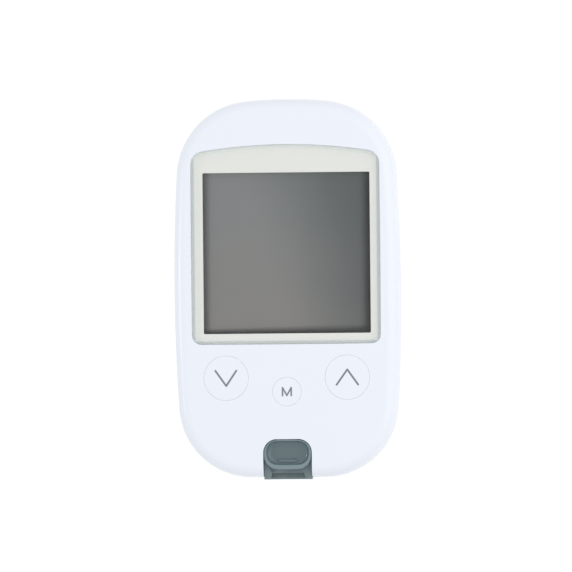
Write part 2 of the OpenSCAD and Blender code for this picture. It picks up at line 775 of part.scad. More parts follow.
module strip_port() {
    nose_r = 1.5;
    front = concat([[port_back_y, port_z], [port_back_y, deck_z]],
        [for (t = [90:15:180]) [port_end_y + nose_r * (1 + cos(t)), deck_z - nose_r * (1 - sin(t))]],
        [[port_end_y, port_z + 0.6], [port_end_y + 0.6, port_z]]);
    slot_w = arm_w + 0.3;
    funnel_y = port_end_y + mouth_l;
    color("slategray") difference() {
        intersection() {
            across(front, -port_flange_w / 2, port_flange_w / 2);
            union() {
                box(-port_w / 2, port_w / 2, port_end_y - beyond, port_back_y + beyond, 0, body_t);
                box(-port_flange_w / 2, port_flange_w / 2, port_flange_y, port_back_y + beyond,
                    0, ceiling_z - face_fillet_r);
                box(-port_flange_w / 2, port_flange_w / 2, port_flange_y + face_fillet_r,
                    port_back_y + beyond, 0, body_t);
            }
        }
        box(-strip_w / 2, strip_w / 2, port_end_y - beyond, port_back_y + beyond, channel_z, channel_top_z);
        plate([[-mouth_w / 2 + 0.5, funnel_y], [-mouth_w / 2, port_end_y - 0.1],
            [mouth_w / 2, port_end_y - 0.1], [mouth_w / 2 - 0.5, funnel_y]], channel_z, body_t);
        box(-slot_w / 2, slot_w / 2, pad_y - eject_travel - 1.1, port_back_y + beyond,
            arm_z - arm_room, body_t);
    }
    color("slategray") translate([spring_x, port_back_y - 0.2, eject_spring_z]) rotate([-90, 0, 0])
        cylinder(d = 1.6, h = 1.8);
}

// One ring of the thumb pad, set in by d and moved by shift, its height leaning down towards the end
// of the meter
function pad_ring(d, z, lean, shift = 0) =
    [for (p = outline(pad_w / 2 - d, pad_l / 2 - d, 60, [60, 60],
            [max(pad_corner - d, 0.4), max(pad_corner + 0.4 - d, 0.4)], [2, 6, 2]))
        [p[0], pad_y + p[1] + shift, z - lean * pad_tilt * (pad_l / 2 - p[1])]];

module ejector_slider() {
    rim_z = pad_top_z;
    rim_drop = 0.1;
    grip_z = rim_z - bowl_depth - pad_tilt * (pad_y + pad_l / 2 - grip_y) + 0.05;
    arm_front_y = pad_y - 0.9;
    bowl = [for (t = [0:18:90])
        pad_ring(bowl_rim + bowl_run * (1 - cos(t)), rim_z - rim_drop - (bowl_depth - rim_drop) * sin(t),
            1, bowl_shift)];
    color("slategray") {
        loft(concat([pad_ring(0, pad_z, 0), pad_ring(0, rim_z - 0.3, 1), pad_ring(0.12, rim_z - 0.08, 1),
            pad_ring(0.3, rim_z, 1), pad_ring(bowl_rim - rim_drop, rim_z, 1, bowl_shift)], bowl));
        translate([-grip_l / 2, grip_y, grip_z]) rotate([0, 90, 0])
            cylinder(d = grip_d, h = grip_l);
        for (side = [-1, 1])
            translate([side * grip_l / 2, grip_y, grip_z]) sphere(d = grip_d);
        box(-arm_w / 2, arm_w / 2, arm_front_y, finger_y + finger_t, arm_z, arm_z + arm_t);
        box(arm_w / 2 - 0.1, spring_x + 1.3, finger_y, finger_y + finger_t, arm_z, arm_z + arm_t);
        box(spring_x - 1.3, spring_x + 1.3, finger_y, finger_y + finger_t,
            eject_spring_z - 1.2, arm_z + sunk);
        box(-finger_w / 2, finger_w / 2, finger_y, finger_y + finger_t, channel_z + 0.1, arm_z + 0.1);
    }
}

module ejector_spring() {
    r = (eject_spring_d - eject_wire_d) / 2;
    color("silver") translate([spring_x, 0, eject_spring_z])
        coil(port_back_y + 0.02, finger_y - 0.02, r, r, eject_turns, eject_wire_d, 14);
}

module strip_connector() {
    w = connector_w;
    y1 = connector_y + connector_l;
    finger_room = 0.2;
    color("ivory") difference() {
        box(-w / 2, w / 2, connector_y, y1, board_top_z, connector_top_z);
        box(-strip_w / 2, strip_w / 2, connector_y - beyond, finger_y + finger_t + finger_room,
            channel_z, channel_top_z);
        box(-finger_w / 2 - finger_room, finger_w / 2 + finger_room, finger_y - eject_travel - finger_room,
            finger_y + finger_t + finger_room, channel_z, connector_top_z + beyond);
        for (x = contact_xs)
            box(x - contact_w / 2 - 0.05, x + contact_w / 2 + 0.05, connector_y - beyond, y1 + beyond,
                board_top_z + 0.3, channel_z + sunk);
    }
}

contact_xs = [for (side = [-1, 1], i = [0:1]) side * (finger_w / 2 + 0.7 + i * contact_pitch)];

// Leaf contacts: a tail on the board, a run under the channel and a crest that meets the strip
module connector_contacts() {
    t = 0.2;
    y0 = connector_y + 0.4;
    y1 = connector_y + connector_l;
    low = board_top_z + 0.35;
    crest = channel_z + 0.4;
    color("gold") for (x = contact_xs)
        across([[y1 + 1, board_top_z], [y1 + 1, board_top_z + t], [y1 + 0.4, board_top_z + t],
            [y1 + 0.2, low + t], [y0 + 3.6, low + t], [y0 + 1.4, crest], [y0 + 0.9, crest], [y0, low + 0.5],
            [y0, low + 0.5 - t], [y0 + 0.9, crest - t], [y0 + 1.3, crest - t], [y0 + 3.5, low], [y1, low],
            [y1 + 0.2, board_top_z]],
            x - contact_w / 2, x + contact_w / 2);
}

// ---- batteries and contacts ----

// A cell along Y: its flat end at y = 0 and its nub at y = cell_l
module cell() {
    r = cell_d / 2;
    edge = 0.4;
    body = cell_l - nub_h;
    rotate([-90, 0, 0]) rotate_extrude() polygon([
        [0, cell_dish], [r - 1.6, cell_dish], [r - 1.4, 0], [r - edge, 0], [r, edge], [r, body - edge],
        [r - edge, body], [r - 1.4, body], [r - 1.6, body - cell_dish], [nub_d / 2, body - cell_dish],
        [nub_d / 2, cell_l - cell_dish], [nub_d / 2 - cell_dish, cell_l], [0, cell_l]]);
}

contact_gap = 0.05;
low_plate_y = bay_low_y - plate_sink;
top_plate_y = bay_top_y + plate_sink - plate_t;
left_tip_y = top_plate_y - contact_gap;
right_tip_y = low_plate_y + plate_t + contact_gap;

module battery_left() {
    color("darkgreen") translate([-cell_x, left_tip_y - cell_l, cell_z]) cell();
}

module battery_right() {
    color("darkgreen") translate([cell_x, right_tip_y + cell_l, cell_z]) rotate([0, 0, 180]) cell();
}

module battery_spring(y0, y1, r0, r1) {
    color("silver") coil(y0 + 0.02, y1 - 0.02, r0, r1, spring_turns, wire_d, 18);
}

spring_wide_r = cell_d / 2 - spring_inset;
spring_narrow_r = spring_wide_r - spring_taper;

module negative_spring() {
    translate([-cell_x, 0, cell_z])
        battery_spring(low_plate_y + plate_t, left_tip_y - cell_l + cell_dish,
            spring_wide_r, spring_narrow_r);
}

module bridge_spring() {
    translate([cell_x, 0, cell_z])
        battery_spring(right_tip_y + cell_l - cell_dish, top_plate_y, spring_narrow_r, spring_wide_r);
}

plate_low_z = cell_z - plate_w / 2;
plate_top_z = cell_z + plate_w / 2;

// A terminal plate with the tab that is soldered into the board
module terminal_plate(x) {
    color("silver") {
        box(x - plate_w / 2, x + plate_w / 2, low_plate_y, low_plate_y + plate_t, plate_low_z, plate_top_z);
        box(x - tab_w / 2, x + tab_w / 2, low_plate_y, low_plate_y + plate_t,
            plate_top_z - sunk, board_top_z);
    }
}

module negative_plate() { terminal_plate(-cell_x); }
module positive_plate() { terminal_plate(cell_x); }

module bridge_plate() {
    reach = cell_x + plate_w / 2;
    color("silver")
        box(-reach, reach, top_plate_y, top_plate_y + plate_t, plate_low_z, plate_top_z);
}

// ---- battery door ----

module battery_door() {
    rib_z = cell_z - cell_d / 2 + 1;
    color("whitesmoke") difference() {
        union() {
            plate(round_rect(door_w, door_low_y, door_top_y, door_corner), door_drop, door_top_z);
            for (side = [-1, 1]) {
                x0 = side * hook_x - hook_w / 2;
                x1 = side * hook_x + hook_w / 2;
                box(x0, x1, door_low_y, door_low_y + 0.9, door_top_z - sunk, hook_z + hook_t);
                box(x0, x1, door_low_y - hook_l, door_low_y + sunk, hook_z, hook_z + hook_t);
            }
            box(-0.5, 0.5, bay_low_y + 2, bay_top_y - 2, door_top_z - sunk, rib_z);
            latch_tongue();
        }
        for (i = [0:grooves - 1])
            box(-latch_w / 2, latch_w / 2, door_top_y - 3 - i * groove_pitch - groove_w,
                door_top_y - 3 - i * groove_pitch, door_drop - sunk, door_drop + groove_depth);
    }
}

// The springy tongue at the end of the door, with the nose that snaps behind the cover's edge
module latch_tongue() {
    across([[tongue_y - 0.4, door_top_z - sunk], [tongue_y, door_top_z + 0.6],
        [tongue_y, door_top_z + latch_h], [tongue_y + tongue_t, door_top_z + latch_h],
        [tongue_y + tongue_t, nose_z + 1.4],
        [door_top_y - 0.1, nose_z + 0.8], [door_top_y - 0.1, nose_z], [tongue_y + tongue_t, nose_z],
        [tongue_y + tongue_t, door_top_z - sunk]], -latch_w / 2, latch_w / 2);
}

// ---- screws ----

// A pan-head screw with a cross recess, its head's seat at z and its shank upwards
module screw(p, z, d, l, head_d, head_h) {
    slot = head_d * 0.6;
    slot_w = head_d / 6;
    color("silver") translate([p[0], p[1], z]) difference() {
        union() {
            translate([0, 0, -head_h]) cylinder(d1 = head_d * 0.7, d2 = head_d, h = head_h / 2);
            translate([0, 0, -head_h / 2]) cylinder(d = head_d, h = head_h / 2);
            translate([0, 0, -sunk / 2]) cylinder(d = d, h = l - d / 2 + sunk / 2);
            translate([0, 0, l - d / 2]) cylinder(d1 = d, d2 = d / 3, h = d / 2);
        }
        for (turn = [0, 90]) rotate([0, 0, turn])
            translate([-slot / 2, -slot_w / 2, -head_h - sunk]) cube([slot, slot_w, head_h * 0.5 + sunk]);
    }
}

module case_screws() {
    for (p = case_points) screw(p, seat_depth, case_screw_d, case_screw_l, case_head_d, case_head_h);
}

module board_screws() {
    for (p = standoff_points) screw(p, board_z, board_screw_d, board_screw_l, board_head_d, board_head_d / 3);
}

front_cover();
rear_cover();
display_window();
window_gasket();
display_bezel();
lcd_panel();
lcd_holder();
zebra_strip();
circuit_board();
microcontroller();
board_parts();
buzzer();
down_button();
memory_button();
up_button();
down_switch();
memory_switch();
up_switch();
down_plunger();
memory_plunger();
up_plunger();
strip_port();
ejector_slider();
ejector_spring();
strip_connector();
connector_contacts();
battery_door();
battery_left();
battery_right();
negative_spring();
bridge_spring();
negative_plate();
positive_plate();
bridge_plate();
case_screws();
board_screws();
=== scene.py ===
"""Looks of a hand-held blood glucose meter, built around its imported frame.

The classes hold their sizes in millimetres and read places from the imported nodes. A piece is worked in
millimetres and turned into metres when it is finished. X runs across the meter, Y along it with the
strip port at -Y, and +Z points out of the face.
"""

import logging
import math
from dataclasses import dataclass, field
from enum import Enum
from typing import Any, Callable, Iterable, Sequence

import bmesh
import bpy
from mathutils import Matrix, Vector


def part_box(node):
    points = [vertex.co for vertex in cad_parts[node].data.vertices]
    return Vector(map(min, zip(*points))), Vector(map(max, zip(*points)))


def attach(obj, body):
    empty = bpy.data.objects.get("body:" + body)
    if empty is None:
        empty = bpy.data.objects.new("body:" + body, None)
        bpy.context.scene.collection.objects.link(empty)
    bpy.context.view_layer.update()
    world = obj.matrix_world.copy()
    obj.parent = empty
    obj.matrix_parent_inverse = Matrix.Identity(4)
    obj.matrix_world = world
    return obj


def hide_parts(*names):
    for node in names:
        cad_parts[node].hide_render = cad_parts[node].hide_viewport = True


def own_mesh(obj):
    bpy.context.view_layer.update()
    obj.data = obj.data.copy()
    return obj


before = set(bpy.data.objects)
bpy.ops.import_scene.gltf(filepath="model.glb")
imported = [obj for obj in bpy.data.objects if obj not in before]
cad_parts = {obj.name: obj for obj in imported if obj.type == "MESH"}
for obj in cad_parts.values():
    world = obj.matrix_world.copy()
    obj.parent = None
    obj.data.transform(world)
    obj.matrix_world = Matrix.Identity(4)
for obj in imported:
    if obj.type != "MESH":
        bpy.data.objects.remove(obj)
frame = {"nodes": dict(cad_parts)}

LOG = logging.getLogger("meter")
MM = 0.001
PAST = 2.0  # how far a cutting tool runs past what it cuts, in millimetres

Point = tuple[float, float]
Ring = list[tuple[float, float, float]]
Colour = tuple[float, float, float]
Mesh = bpy.types.Mesh
Object = bpy.types.Object
Socket = bpy.types.NodeSocket


class Combine(Enum):
    """How one mesh is combined with others."""

    JOIN = "UNION"
    CUT = "DIFFERENCE"
    KEEP = "INTERSECT"


# ---- places read from the frame ----


@dataclass(frozen=True)
class Box:
    """The lowest and highest corner of something, in millimetres."""

    low: Vector
    high: Vector

    @classmethod
    def of(cls, node: str) -> "Box":
        """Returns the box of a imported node."""
        low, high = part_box(node)
        return cls(low / MM, high / MM)

    @property
    def centre(self) -> Vector:
        """The middle of the box."""
        return (self.low + self.high) / 2

    @property
    def size(self) -> Vector:
        """The box's width, length and height."""
        return self.high - self.low


def merged_copy(node: str) -> Mesh:
    """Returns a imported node's mesh in millimetres, with its loose triangles joined into flat faces."""
    shape = bmesh.new()
    shape.from_mesh(frame["nodes"][node].data)
    bmesh.ops.scale(shape, vec=(1 / MM,) * 3, verts=shape.verts)
    bmesh.ops.remove_doubles(shape, verts=shape.verts, dist=0.001)
    bmesh.ops.dissolve_limit(shape, angle_limit=math.radians(0.5), verts=shape.verts, edges=shape.edges)
    mesh = bpy.data.meshes.new(node)
    shape.to_mesh(mesh)
    shape.free()
    return mesh


def solids_of(node: str) -> list[Box]:
    """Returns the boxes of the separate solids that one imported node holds.

    Args:
        node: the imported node's name.

    Returns:
        One box for each solid, in the order of their lowest corners.
    """
    shape = bmesh.new()
    shape.from_mesh(merged_copy(node))
    left = set(shape.verts)
    boxes = []
    while left:
        island = {left.pop()}
        edge_of_island = set(island)
        while edge_of_island:
            reached = {e.other_vert(v) for v in edge_of_island for e in v.link_edges} - island
            island |= reached
            edge_of_island = reached
        left -= island
        axes = list(zip(*(v.co for v in island)))
        boxes.append(Box(Vector([min(a) for a in axes]), Vector([max(a) for a in axes])))
    shape.free()
    return sorted(boxes, key=lambda box: tuple(round(x, 2) for x in box.low))


# ---- outlines ----


def arc(centre: Point, radius: float, start: float, end: float, steps: int) -> list[Point]:
    """Returns the points of an arc, without its last one.

    Args:
        centre: the arc's centre.
        radius: its radius.
        start: its first angle, in degrees.
        end: its last angle, in degrees.
        steps: the number of chords.
    """
    angles = [math.radians(start + (end - start) * i / steps) for i in range(steps)]
    return [(centre[0] + radius * math.cos(t), centre[1] + radius * math.sin(t)) for t in angles]


class Shape:
    """A closed outline that can be drawn smaller or larger by an even distance."""

    def inset(self, distance: float) -> list[Point]:
        """Returns the outline's points, drawn in by a distance."""
        raise NotImplementedError


@dataclass(frozen=True)
class Disc(Shape):
    """A circle."""

    centre: Point
    diameter: float
    steps: int = 72

    def inset(self, distance: float) -> list[Point]:
        """Returns the circle's points, drawn in by a distance."""
        return arc(self.centre, self.diameter / 2 - distance, 0, 360, self.steps)


@dataclass(frozen=True)
class RoundBar(Shape):
    """A rectangle between two x and two y values, with round corners."""

    low: Point
    high: Point
    radius: float
    steps: int = 8

    def inset(self, distance: float) -> list[Point]:
        """Returns the rectangle's points, drawn in by a distance."""
        r = max(self.radius - distance, 0.02)
        x0, y0, x1, y1 = (
            self.low[0] + distance + r,
            self.low[1] + distance + r,
            self.high[0] - distance - r,
            self.high[1] - distance - r,
        )
        corners = [((x1, y1), 0), ((x0, y1), 90), ((x0, y0), 180), ((x1, y0), 270)]
        points = []
        for (x, y), start in corners:
            points += arc((x, y), r, start, start + 90, self.steps)
            end = math.radians(start + 90)
            points.append((x + r * math.cos(end), y + r * math.sin(end)))
        return points


@dataclass(frozen=True)
class Bowed(Shape):
    """An outline with bowed sides and arched ends, each quarter drawn in three arcs that touch."""

    half_width: float
    half_length: float
    side_radius: float
    end_radii: Point
    corner_radii: Point
    centre_y: float = 0.0
    steps: tuple[int, int, int] = (10, 18, 12)
    least_corner: float = 0.3

    def quarter(self, distance: float, end: int) -> list[Point]:
        """Returns a quarter from its widest point to its end's middle, without that last point.

        Args:
            distance: how far the outline is drawn in.
            end: 0 for the end at +Y and 1 for the one at -Y, which is drawn as if it were at +Y.
        """
        a, b = self.half_width - distance, self.half_length - distance
        side = self.side_radius - distance
        arch = self.end_radii[end] - distance
        corner = max(self.corner_radii[end] - distance, self.least_corner)
        start = Vector((a - side, 0))
        across = Vector((side - a, b - arch))
        apart = across.length
        along = ((side - corner) ** 2 - (arch - corner) ** 2 + apart**2) / (2 * apart)
        off = math.sqrt((side - corner) ** 2 - along**2)
        centre = start + across * (along / apart) + Vector((-across.y, across.x)) * (off / apart)
        first = math.degrees(math.atan2(centre.y, centre.x - a + side))
        second = math.degrees(math.atan2(centre.y - b + arch, centre.x))
        return (
            arc((a - side, 0), side, 0, first, self.steps[0])
            + arc((centre.x, centre.y), corner, first, second, self.steps[1])
            + arc((0, b - arch), arch, second, 90, self.steps[2])
        )

    def inset(self, distance: float) -> list[Point]:
        """Returns the outline's points, drawn in by a distance."""
        top, low = self.quarter(distance, 0), self.quarter(distance, 1)
        end = self.half_length - distance
        points = (
            top
            + [(0, end)]
            + [(-x, y) for x, y in reversed(top[1:])]
            + [(-x, -y) for x, y in low]
            + [(0, -end)]
            + [(x, -y) for x, y in reversed(low[1:])]
        )
        return [(x, y + self.centre_y) for x, y in points]


# ---- meshes in millimetres ----


def lift(points: Sequence[Point], z: float) -> Ring:
    """Returns an outline's points at one height."""
    return [(x, y, z) for x, y in points]


def loft(rings: Sequence[Ring]) -> Mesh:
    """Returns a closed solid through rings of equal length, with its two ends capped."""
    shape = bmesh.new()
    rows = [[shape.verts.new(p) for p in ring] for ring in rings]
    count = len(rows[0])
    for below, above in zip(rows, rows[1:]):
        for i in range(count):
            j = (i + 1) % count
            shape.faces.new((below[i], below[j], above[j], above[i]))
    shape.faces.new(list(reversed(rows[0])))
    shape.faces.new(rows[-1])
    return outward(shape)


def outward(shape: bmesh.types.BMesh) -> Mesh:
    """Returns a closed shape as a mesh, with its doubles merged and its faces pointing outwards."""
    bmesh.ops.remove_doubles(shape, verts=shape.verts, dist=0.0005)
    bmesh.ops.recalc_face_normals(shape, faces=shape.faces)
    mesh = bpy.data.meshes.new("blank")
    shape.to_mesh(mesh)
    shape.free()
    return mesh


def round_edge(radius: float, steps: int) -> list[Point]:
    """Returns a quarter round as (inset, depth below the flat), from the wall up to the flat."""
    angles = [math.radians(90 * i / steps) for i in range(steps + 1)]
    return [(radius * (1 - math.cos(t)), radius * (1 - math.sin(t))) for t in angles]


def slab(shape: Shape, low: float, high: float, low_edge: float = 0.0, high_edge: float = 0.0) -> Mesh:
    """Returns a plate with the edges round its lower and upper face rounded.

    Args:
        shape: the plate's outline.
        low: the height of its lower face.
        high: the height of its upper face.
        low_edge: the radius of its lower edge.
        high_edge: the radius of its upper edge.
    """
    below = round_edge(low_edge, 4) if low_edge else [(0, 0)]
    above = round_edge(high_edge, 4) if high_edge else [(0, 0)]
    rings = [lift(shape.inset(d), low + z) for d, z in reversed(below)]
    return loft(rings + [lift(shape.inset(d), high - z) for d, z in above])


def cutter(shape: Shape, start: float, face: float, flare: float) -> Mesh:
    """Returns a cutter whose walls open out at a flat face, so that the rim it leaves is rounded.

    Args:
        shape: the opening's outline.
        start: the height at which the cutter starts.
        face: the height of the face that it comes out of.
        flare: the radius of the rim.
    """
    way = 1 if face > start else -1
    steps = 5
    rings = [lift(shape.inset(0), start)]
    last = 0.0
    for d, z in round_edge(flare, steps)[:-1]:
        rings.append(lift(shape.inset(-d), face - way * z))
        last = d
    rings.append(lift(shape.inset(-last - flare * 0.12), face + way * 0.5))
    return loft(rings)


def block(low: Sequence[float], high: Sequence[float]) -> Mesh:
    """Returns a plain box between two corners, as a tool for cutting or joining."""
    x0, x1 = sorted((low[0], high[0]))
    y0, y1 = sorted((low[1], high[1]))
    z0, z1 = sorted((low[2], high[2]))
    corners = [(x0, y0), (x1, y0), (x1, y1), (x0, y1)]
    return loft([lift(corners, z0), lift(corners, z1)])


def post(centre: Point, diameter: float, low: float, high: float, steps: int = 48) -> Mesh:
    """Returns a plain upright post, as a tool for cutting or joining."""
    return slab(Disc(centre, diameter, steps), low, high)


def turned(profile: Sequence[Point], steps: int = 96, ring: bool = False) -> Mesh:
    """Returns a solid turned about the Z axis.

    Args:
        profile: (radius, height) points, the first and last of them on the axis unless it is a ring.
        steps: the number of facets round the axis.
        ring: whether the profile is closed and stays off the axis.
    """
    shape = bmesh.new()
    rows = []
    for radius, height in profile:
        points = arc((0, 0), radius, 0, 360, steps) if radius > 1e-6 else [(0, 0)]
        rows.append([shape.verts.new((x, y, height)) for x, y in points])
    for below, above in zip(rows, rows[1:] + rows[:1] if ring else rows[1:]):
        for i in range(steps):
            j = (i + 1) % steps
            low = [below[k % len(below)] for k in (i, j)]
            high = [above[k % len(above)] for k in (j, i)]
            corners = list(dict.fromkeys(low + high))
            if len(corners) > 2:
                shape.faces.new(corners)
    return outward(shape)


def placed(mesh: Mesh, matrix: Matrix) -> Mesh:
    """Returns a copy of a mesh in another place."""
    copy = mesh.copy()
    copy.transform(matrix)
    return copy


def linked(name: str, data: Any) -> Object:
    """Returns a new object that holds some data, in the scene's own collection."""
    made = bpy.data.objects.new(name, data)
    bpy.context.scene.collection.objects.link(made)
    return made


def evaluated_mesh(mesh: Mesh, add: Callable[[Object], None]) -> Mesh:
    """Returns a mesh with modifiers worked into it.

    Args:
        mesh: the mesh that is worked on.
        add: adds the modifiers to the object that holds it.
    """
    work = linked("work", mesh)
    add(work)
    made = bpy.data.meshes.new_from_object(work.evaluated_get(bpy.context.evaluated_depsgraph_get()))
    bpy.data.objects.remove(work)
    return made


def combine(base: Mesh, tools: Iterable[Mesh], how: Combine) -> Mesh:
    """Returns a mesh joined with, cut by or kept within others.

    Args:
        base: the mesh that is worked on.
        tools: the meshes that work on it, one after the other.
        how: what they do.

    Returns:
        The closed mesh that is left.
    """
    helpers = [linked("tool", tool) for tool in tools]

    def add(work: Object) -> None:
        """Adds one step for each tool."""
        for helper in helpers:
            step = work.modifiers.new("step", "BOOLEAN")
            step.operation = how.value
            step.solver = "MANIFOLD"
            step.object = helper

    mesh = evaluated_mesh(base, add)
    for helper in helpers:
        bpy.data.objects.remove(helper)
    return mesh


def eased(mesh: Mesh, width: float, segments: int = 2, above: float = 40.0) -> Mesh:
    """Returns a mesh with its sharp edges rounded.

    Args:
        mesh: the mesh, in millimetres.
        width: the width of the rounding.
        segments: the number of facets across it.
        above: edges that turn by more degrees than this are rounded.
    """

    def add(work: Object) -> None:
        """Adds the bevel."""
        bevel = work.modifiers.new("ease", "BEVEL")
        bevel.width = width
        bevel.segments = segments
        bevel.limit_method = "ANGLE"
        bevel.angle_limit = math.radians(above)
        bevel.miter_outer = "MITER_ARC"

    return evaluated_mesh(mesh, add)


def shaded(mesh: Mesh, sharp: float) -> Mesh:
    """Returns a mesh that is shaded smooth, with flat faces kept flat and edges above an angle sharp."""
    mesh.shade_smooth()
    mesh.set_sharp_from_angle(angle=math.radians(sharp))

    def add(work: Object) -> None:
        """Adds the weighted normals."""
        weighted = work.modifiers.new("weighted", "WEIGHTED_NORMAL")
        weighted.mode = "FACE_AREA"
        weighted.keep_sharp = True

    return evaluated_mesh(mesh, add)


def add_piece(
    mesh: Mesh,
    name: str,
    body: str,
    finish: "Finish",
    replaces: Sequence[str] = (),
    sharp: float = 34.0,
) -> Object:
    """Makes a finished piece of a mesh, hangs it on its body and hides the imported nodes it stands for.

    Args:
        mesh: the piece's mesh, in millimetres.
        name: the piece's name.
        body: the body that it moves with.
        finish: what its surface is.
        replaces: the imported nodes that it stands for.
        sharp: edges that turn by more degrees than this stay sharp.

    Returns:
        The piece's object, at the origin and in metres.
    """
    made = shaded(mesh, sharp)
    made.transform(Matrix.Scale(MM, 4))
    made.materials.clear()
    made.materials.append(finish.material())
    made.name = name
    piece = linked(name, made)
    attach(piece, body)
    if replaces:
        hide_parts(*replaces)
    LOG.info("%s: %d faces on %s", name, len(made.polygons), body)
    return piece


# ---- node trees ----


class Wiring:
    """Adds nodes to a shader or geometry tree and joins them."""

    def __init__(self, tree: bpy.types.NodeTree) -> None:
        """Starts with an existing tree."""
        self.tree = tree

    @staticmethod
    def socket(sockets: Any, key: str) -> Socket:
        """Returns the socket with that identifier, or with that name if it is shown."""
        for found in sockets:
            if found.identifier == key:
                return found
        return next(s for s in sockets if s.name == key and s.enabled)

    def add(self, kind: str, inputs: dict[str, Any] | None = None, **settings: Any) -> bpy.types.Node:
        """Adds a node.

        Args:
            kind: the node's type.
            inputs: what each input holds: a value, or the socket that feeds it.
            settings: the node's own properties.

        Returns:
            The new node.
        """
        node = self.tree.nodes.new(kind)
        for key, value in settings.items():
            setattr(node, key, value)
        for key, value in (inputs or {}).items():
            target = self.socket(node.inputs, key)
            if isinstance(value, Socket):
                self.tree.links.new(value, target)
            else:
                target.default_value = value
        return node

    def out(self, kind: str, output: str, inputs: dict[str, Any] | None = None, **settings: Any) -> Any:
        """Adds a node and returns one of its output sockets."""
        return self.socket(self.add(kind, inputs, **settings).outputs, output)

    def math(self, operation: str, a: Any, b: Any = 0.0, c: Any = 0.0) -> Socket:
        """Adds a sum of numbers and returns its result."""
        inputs = {"Value": a, "Value_001": b, "Value_002": c}
        return self.out("ShaderNodeMath", "Value", inputs, operation=operation)

    def remap(self, value: Any, low: float, high: float, to_low: float, to_high: float) -> Any:
        """Adds a smooth change of range and returns its result."""
        inputs = {"Value": value, "From Min": low, "From Max": high, "To Min": to_low, "To Max": to_high}
        return self.out("ShaderNodeMapRange", "Result", inputs, interpolation_type="SMOOTHSTEP")

    def blend(self, share: Any, a: Any, b: Any, blend_type: str = "MIX") -> Socket:
        """Adds a mix of two colours and returns its result."""
        inputs = {"Factor_Float": share, "A_Color": a, "B_Color": b}
        return self.out("ShaderNodeMix", "Result_Color", inputs, data_type="RGBA", blend_type=blend_type)

    def noise(self, place: Any, scale: Any, detail: float, **more: float) -> Socket:
        """Adds a noise and returns its value."""
        inputs = {"Vector": place, "Scale": scale, "Detail": detail, **more}
        return self.out("ShaderNodeTexNoise", "Fac", inputs)

    def bump(self, strength: float, depth: float, height: Any) -> Socket:
        """Adds a relief of a depth in metres and returns its normal."""
        inputs = {"Strength": strength, "Distance": depth, "Height": height}
        return self.out("ShaderNodeBump", "Normal", inputs)

    def axes(self, vector: Any) -> Any:
        """Parts a vector and returns the sockets of its X, Y and Z."""
        return self.add("ShaderNodeSeparateXYZ", {"Vector": vector}).outputs

    def principled(self, **inputs: Any) -> Socket:
        """Adds a principled shader and returns its output.

        Args:
            inputs: what each input holds, with underscores for the spaces in its name.
        """
        inputs = {key.replace("_", " "): value for key, value in inputs.items()}
        return self.out("ShaderNodeBsdfPrincipled", "BSDF", inputs)

    def either(self, share: Any, a: Any, b: Any) -> Socket:
        """Adds a mix of two shaders and returns its result."""
        return self.out("ShaderNodeMixShader", "Shader", {"Fac": share, "Shader": a, "Shader_001": b})

    def enter(self, **kinds: str) -> Any:
        """Adds named inputs to a group and returns the sockets that bring them in.

        Args:
            kinds: the kind of each input, with underscores for the spaces in its name.
        """
        for key, kind in kinds.items():
            name = key.replace("_", " ")
            self.tree.interface.new_socket(name, in_out="INPUT", socket_type=f"NodeSocket{kind}")
        return self.add("NodeGroupInput").outputs

    def leave(self, kind: str, **results: Any) -> None:
        """Adds named outputs of one kind to a group, each fed by the socket that is given for it."""
        for name in results:
            self.tree.interface.new_socket(name, in_out="OUTPUT", socket_type=f"NodeSocket{kind}")
        self.add("NodeGroupOutput", results)


def built_once(name: str, kind: str, lay: Callable[[Wiring], None]) -> bpy.types.NodeTree:
    """Returns the node tree of that name, laid out on its first use."""
    made = bpy.data.node_groups.get(name)
    if made is None:
        made = bpy.data.node_groups.new(name, kind)
        lay(Wiring(made))
    return made


# The coordinates are in metres, so the scales of noises and cells are their numbers per metre.


class Effect(Enum):
    """The shader effects that several materials share, each a node group that is built once."""

    GRAIN = "moulded_grain"
    HANDLING = "handling_marks"
    WEAR = "edge_wear"
    BRUSH = "brushed_lines"

    def group(self) -> bpy.types.NodeTree:
        """Returns the effect's node group, built on its first use."""
        lay = {
            Effect.GRAIN: _wire_grain,
            Effect.HANDLING: _wire_handling,
            Effect.WEAR: _wire_wear,
            Effect.BRUSH: _wire_brush,
        }[self]
        return built_once(self.value, "ShaderNodeTree", lay)


def _wire_grain(wiring: Wiring) -> None:
    """Wires the fine grain that a mould leaves: a height and a slow change of gloss."""
    given = wiring.enter(Place="Vector", Fineness="Float", Waviness="Float")
    place = given["Place"]
    fine = wiring.noise(place, given["Fineness"], 3.0, Roughness=0.55)
    slow = wiring.math("MULTIPLY", wiring.noise(place, 260.0, 1.0), given["Waviness"])
    height = wiring.math("MULTIPLY_ADD", fine, 0.4, slow)
    wiring.leave("Float", Height=height, Gloss=wiring.noise(place, 55.0, 4.0))


def _wire_handling(wiring: Wiring) -> None:
    """Wires what hands and air leave behind: soft smudges and a few specks."""
    given = wiring.enter(Place="Vector", Specks="Float")
    place = given["Place"]
    smudge = wiring.remap(wiring.noise(place, 70.0, 5.0, Distortion=0.6), 0.42, 0.68, 0.0, 1.0)
    cells = wiring.out("ShaderNodeTexVoronoi", "Distance", {"Vector": place, "Scale": 900.0})
    dots = wiring.remap(cells, 0.04, 0.1, 1.0, 0.0)
    where = wiring.remap(wiring.noise(place, 210.0, 2.0), 0.6, 0.66, 0.0, 1.0)
    specks = wiring.math("MULTIPLY", wiring.math("MULTIPLY", dots, where), given["Specks"])
    wiring.leave("Float", Smudge=smudge, Speck=specks)


